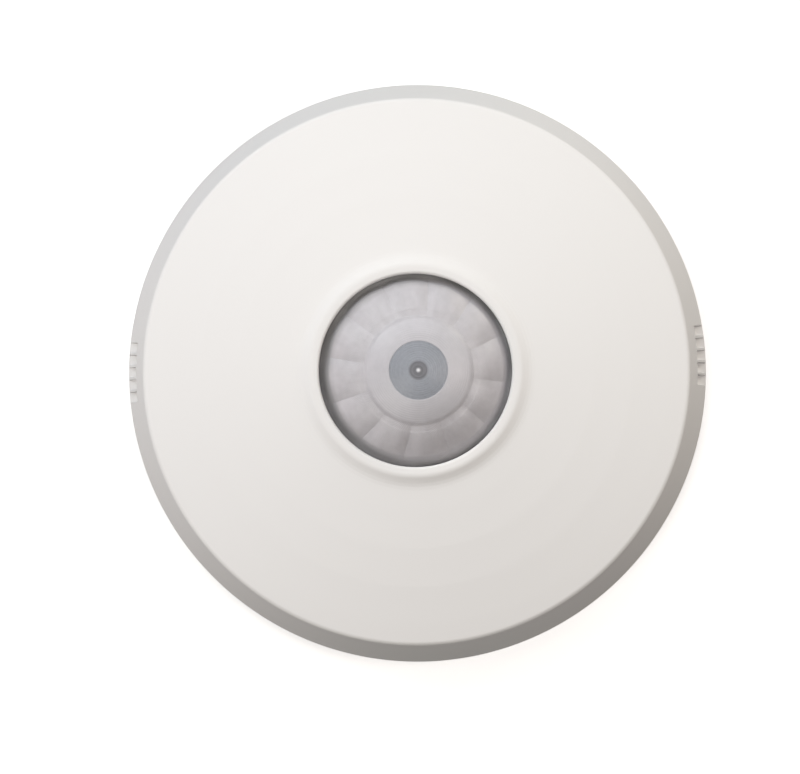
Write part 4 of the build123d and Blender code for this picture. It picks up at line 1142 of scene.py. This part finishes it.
def chip_frames(node):
    """Centre, long-side angle and height of each chip part of a node."""
    frames = []
    for solid in islands(node):
        flat = solid[solid[:, 2] < solid[:, 2].min() + CHIP_FOOT][:, :2]
        centre = flat.mean(axis=0)
        _, vectors = np.linalg.eigh(np.cov((flat - centre).T))
        turn = math.degrees(math.atan2(vectors[1, 1], vectors[0, 1]))
        frames.append((float(centre[0]), float(centre[1]), turn, float(np.ptp(solid[:, 2]))))
    return frames


def add_chip_ends(bm, x, y, turn, low, high, reach, size, soft=0.0):
    """Like block at each end of a chip part."""
    for side in (-1, 1):
        dx, dy = polar(side * reach, turn)
        add_block(bm, x + dx, y + dy, *size, low, high, turn, soft)


def make_chip_pads():
    """Tinned land under each end of the chip parts."""
    bm = bmesh.new()
    for node in ("chip_resistors", "chip_capacitors"):
        for x, y, turn, _ in chip_frames(node):
            add_chip_ends(bm, x, y, turn, BOARD_TOP, BOARD_TOP + COPPER, reach=1.05, size=(0.9, 1.5))
    finish_piece(bare_object("chip_pads", bm), "solder")


def make_chips(node, name, material):
    """Chip parts with tinned end caps, in place of plain blocks."""
    body = bmesh.new()
    caps = bmesh.new()
    low = BOARD_TOP + COPPER
    for x, y, turn, height in chip_frames(node):
        top = BOARD_TOP + height
        body_low, body_top = low + CHIP_BODY_LIFT, top - CHIP_BODY_DROP
        add_block(body, x, y, length=1.3, width=1.15, low=body_low, high=body_top, turn=turn, soft=0.06)
        add_chip_ends(caps, x, y, turn, low, top, reach=0.81, size=(0.36, 1.22), soft=0.05)
    finish_piece(bare_object(name, body), material, replaces=[node])
    finish_piece(bare_object(name + "_ends", caps), "solder")


def fan_tracks():
    """Short tracks that leave each chip's leads and end in a via, without crossing."""
    routes = []
    for node in FAN_NODES:
        solids = islands(node)
        middle_x = sum(float(s[:, 0].mean()) for s in solids) / len(solids)
        for side in (-1, 1):
            row = [s for s in solids if (s[:, 0].mean() - middle_x) * side > 0]
            row.sort(key=lambda s: s[:, 1].mean())
            for index, solid in enumerate(row):
                x = float(solid[:, 0].max() if side > 0 else solid[:, 0].min())
                y = float(solid[:, 1].mean())
                rank = index - (len(row) - 1) / 2
                bend_x = x + side * (FAN_REACH + FAN_STAGGER * (len(row) / 2 - abs(rank)))
                rise = rank * FAN_RISE
                routes.append([(x - side * FAN_BACK, y), (bend_x, y), (bend_x + side * abs(rise), y + rise)])
    return routes


def terminal_tracks():
    """Wide tracks from the terminal pins towards the relay and the regulator."""
    places = sorted((float(s[:, 0].mean()), float(s[:, 1].mean())) for s in islands("terminal_pins"))
    routes = []
    for index, (x, y) in enumerate(places):
        spread = POWER_FAN * (index - (len(places) - 1) / 2)
        bend_y = y + POWER_REACH
        routes.append([(x, y + POWER_START), (x, bend_y), (x + spread, bend_y + abs(spread))])
    return routes


def arc_tracks():
    """Long tracks beside each other along the board's edge."""
    routes = []
    for radius, start, end in ARC_TRACKS:
        angles = [start + (end - start) * step / ARC_STEPS for step in range(ARC_STEPS + 1)]
        routes.append([polar(radius, angle) for angle in angles])
    return routes


def under_tracks():
    """Tracks across the board's underside, each with a jog in it."""
    routes = []
    for k in range(UNDER_TRACKS):
        y = UNDER_START + UNDER_PITCH * k
        half = math.sqrt(UNDER_R ** 2 - y * y) - UNDER_MARGIN
        if abs(y) > UNDER_CLEAR:
            left, right = -half * UNDER_JOG_START, half * UNDER_JOG_END
            jog_y = y + UNDER_JOG
            routes.append([(-half, y), (left, y), (left + UNDER_JOG, jog_y), (right, jog_y),
                           (right + UNDER_JOG, y), (half, y)])
    return routes


def make_tracks():
    """Tracks under the solder mask, on both sides."""
    bm = bmesh.new()
    for find, width in ((fan_tracks, FAN_WIDTH), (terminal_tracks, POWER_WIDTH), (arc_tracks, ARC_WIDTH)):
        for route in find():
            add_ribbon(bm, route, width, BOARD_TOP, BOARD_TOP + MASKED)
    for route in under_tracks():
        add_ribbon(bm, route, UNDER_WIDTH, BOARD_LOW - MASKED, BOARD_LOW)
    finish_piece(bare_object("board_tracks", bm), "mask_track")


def make_vias():
    """Small plated rings where the fan tracks end."""
    bm = bmesh.new()
    inner, outer = 0.16, 0.34
    top = BOARD_TOP + COPPER
    for route in fan_tracks():
        ring = [(inner, BOARD_TOP), (outer, BOARD_TOP), (outer, top), (inner, top)]
        add_lathe(bm, ring, even(16), route[-1])
    finish_piece(bare_object("board_vias", bm), "solder")


def box_corners(node, gap):
    """Corners of a rectangle round a CAD node."""
    low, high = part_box(node)
    left, right = low.x / MM - gap, high.x / MM + gap
    front, back = low.y / MM - gap, high.y / MM + gap
    return [(left, front), (right, front), (right, back), (left, back)]


def make_board_print():
    """White component outlines printed on the board."""
    bm = bmesh.new()
    top = BOARD_TOP + INK
    for node in PRINT_NODES:
        points = box_corners(node, PRINT_GAP)
        for (x, y), (next_x, next_y) in zip(points, points[1:] + points[:1]):
            length, width = abs(next_x - x) + PRINT_WIDTH, abs(next_y - y) + PRINT_WIDTH
            add_block(bm, (x + next_x) / 2, (y + next_y) / 2, length, width, BOARD_TOP, top)
    for x, y, radius, _ in round_solids("electrolytic_capacitors"):
        inner, outer = (radius + gap for gap in PRINT_RING)
        add_tube(bm, x, y, inner, outer, BOARD_TOP, top, soft=0.005)
    for angle in CORNER_MARK_ANGLES:
        x, y = polar(radius=10.2, angle=angle)
        add_block(bm, x, y, length=1.2, width=PRINT_WIDTH, low=BOARD_TOP, high=top, turn=angle)
    finish_piece(bare_object("board_print", bm), "print_white")


def can_outline(radius, low, top):
    """Sleeved can with a crimped foot and a sunk top."""
    foot = radius - CAN_FOOT_INSET
    rim = radius - CAN_RIM
    return rounded([
        (0, low + CAN_FOOT, 0),
        (foot - CAN_SLOPE, low + CAN_FOOT, 0),
        (foot, low, 0.05),
        (radius, low, 0.2),
        (radius, low + CRIMP[0], 0.2),
        (radius - CRIMP_DEPTH, low + CRIMP[1], 0.2),
        (radius, low + CRIMP[2], 0.2),
        (radius, top, 0.5),
        (rim, top, 0.05),
        (rim - CAN_SLOPE, top - CAN_SINK, 0),
        (0, top - CAN_SINK, 0),
    ], step=15.0)


def make_capacitors():
    """Sleeved cans with scored tops and pale stripes."""
    sleeve = bmesh.new()
    tops = bmesh.new()
    stripes = bmesh.new()
    for x, y, radius, top in round_solids("electrolytic_capacitors"):
        add_lathe(sleeve, can_outline(radius, BOARD_TOP, top), even(64), (x, y))
        add_disc(tops, x, y, radius - TOP_INSET, top - TOP_LOW, top - TOP_HIGH, soft=0.02, columns=48)
        length = 2 * (radius - SCORE_INSET)
        for turn in SCORE_TURNS:
            add_block(tops, x, y, length, 0.18, top - SCORE_LOW, top - SCORE_HIGH, turn)
        facing = math.degrees(math.atan2(y, x))
        width = radius * math.radians(STRIPE_PART)
        stripe_low, stripe_top = BOARD_TOP + STRIPE_LOW, top - STRIPE_END
        for index in range(STRIPE_PARTS):
            angle = facing + STRIPE_STEP * (index - (STRIPE_PARTS - 1) / 2)
            dx, dy = polar((radius + STRIPE_PROUD) * STRIPE_SEAT, angle)
            add_block(stripes, x + dx, y + dy, 0.04, width, stripe_low, stripe_top, angle)
    finish_piece(bare_object("capacitor_sleeves", sleeve), "capacitor_sleeve",
                 replaces=["electrolytic_capacitors"])
    finish_piece(bare_object("capacitor_tops", tops), "capacitor_top")
    finish_piece(bare_object("capacitor_stripes", stripes), "print_white")


def make_spring():
    """Round-wire coil with closed ends, between the tamper switch and its cap."""
    low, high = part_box("tamper_spring")
    centre = (low + high) / 2
    radius = (high.x - low.x) / MM / 2 - WIRE_R
    height = (high.z - low.z) / MM - 2 * WIRE_R
    start = Vector((centre.x, centre.y, low.z)) / MM + Vector((0, 0, WIRE_R))
    rings = []
    for index in range(COIL_TURNS * COIL_STEPS + 1):
        share = index / (COIL_TURNS * COIL_STEPS)
        closed = smooth_step(share, CLOSED_END, 1 - CLOSED_END)
        rise = height * (closed * CLOSED_SHARE + share * (1 - CLOSED_SHARE))
        turn = math.tau * COIL_TURNS * share
        outward = Vector((math.cos(turn), math.sin(turn), 0))
        middle = start + outward * radius + Vector((0, 0, rise))
        around = [polar(WIRE_R, angle) for angle in even(WIRE_COLUMNS)]
        rings.append([middle + outward * out + Vector((0, 0, up)) for out, up in around])
    bm = bmesh.new()
    add_rings(bm, rings)
    coil = bare_object("tamper_coil", bm)
    spring = finish_piece(coil, "spring_steel", sharp=60.0, replaces=["tamper_spring"])
    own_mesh(spring)


def paint_cad_nodes():
    """Gives each CAD node that is still shown the material of its slot."""
    slots = {entry["node"]: entry["material_slot"] for entry in frame["record"]["subparts"]}
    for name, node in frame["nodes"].items():
        node.data.materials.clear()
        node.data.materials.append(MATERIALS[slots[name]])


# Studio

def add_camera():
    data = bpy.data.cameras.new("camera")
    data.lens = CAMERA_LENS
    data.clip_end = CAMERA_FAR
    camera = bpy.data.objects.new("camera", data)
    camera.location = CAMERA_PLACE
    back = (CAMERA_PLACE - CAMERA_TARGET).normalized()
    right = Vector((0, 1, 0)).cross(back).normalized()
    camera.rotation_euler = Matrix((right, back.cross(right), back)).transposed().to_euler()
    bpy.context.scene.collection.objects.link(camera)
    bpy.context.scene.camera = camera


def add_light(name, azimuth, elevation, power, color):
    """Round soft light that faces the object."""
    low = math.radians(elevation)
    place = Vector((*polar(LIGHT_DISTANCE * math.cos(low), azimuth), LIGHT_DISTANCE * math.sin(low)))
    data = bpy.data.lights.new(name, "AREA")
    data.shape = "DISK"
    data.size = LIGHT_SIZE
    data.energy = power
    data.color = color
    light = bpy.data.objects.new(name, data)
    light.location = place
    light.rotation_euler = (-place).to_track_quat("-Z", "Y").to_euler()
    bpy.context.scene.collection.objects.link(light)


def add_world():
    world = bpy.data.worlds.new("studio")
    world.use_nodes = True
    background = world.node_tree.nodes["Background"]
    background.inputs["Color"].default_value = WHITE
    background.inputs["Strength"].default_value = WORLD_STRENGTH
    bpy.context.scene.world = world


def add_floor():
    """Pale floor that curves up far away into a backdrop all round."""
    rows = [(FLOOR_R * k / FLOOR_RINGS, 0.0) for k in range(FLOOR_RINGS + 1)]
    for step in range(1, FLOOR_BEND_STEPS + 1):
        turn = math.pi / 2 * step / FLOOR_BEND_STEPS
        rows.append((FLOOR_R + FLOOR_BEND * math.sin(turn), FLOOR_BEND * (1 - math.cos(turn))))
    rows.append((FLOOR_R + FLOOR_BEND, 2 * FLOOR_BEND))
    bm = bmesh.new()
    add_rings(bm, [[(*polar(r, angle), z) for angle in even(FLOOR_COLUMNS)] for r, z in rows], capped=False)
    floor = bare_object("floor", bm)
    floor.location.z = -FLOOR_DROP
    for name, glow in (("floor_white", FLOOR_GLOW), ("backdrop_white", BACKDROP_GLOW)):
        recipe = Recipe(name, FLOOR_PAINT, roughness=0.8)
        recipe.shader.inputs["Emission Color"].default_value = WHITE
        recipe.shader.inputs["Emission Strength"].default_value = glow
        floor.data.materials.append(recipe.material)
    for polygon in floor.data.polygons:
        polygon.use_smooth = True
        polygon.material_index = int(polygon.center.xy.length > FLOOR_R / 2)
    floor.visible_diffuse = False
    floor.visible_glossy = False


add_camera()
add_world()
for settings in LIGHTS:
    add_light(*settings)
add_floor()
bpy.context.scene.view_settings.view_transform = "Standard"

paint_cad_nodes()
make_cover()
make_lens()
make_base()
make_solder()
make_chip_pads()
make_chips("chip_resistors", "resistor_bodies", "resistor_ceramic")
make_chips("chip_capacitors", "capacitor_bodies", "capacitor_ceramic")
make_tracks()
make_vias()
make_board_print()
make_capacitors()
make_spring()
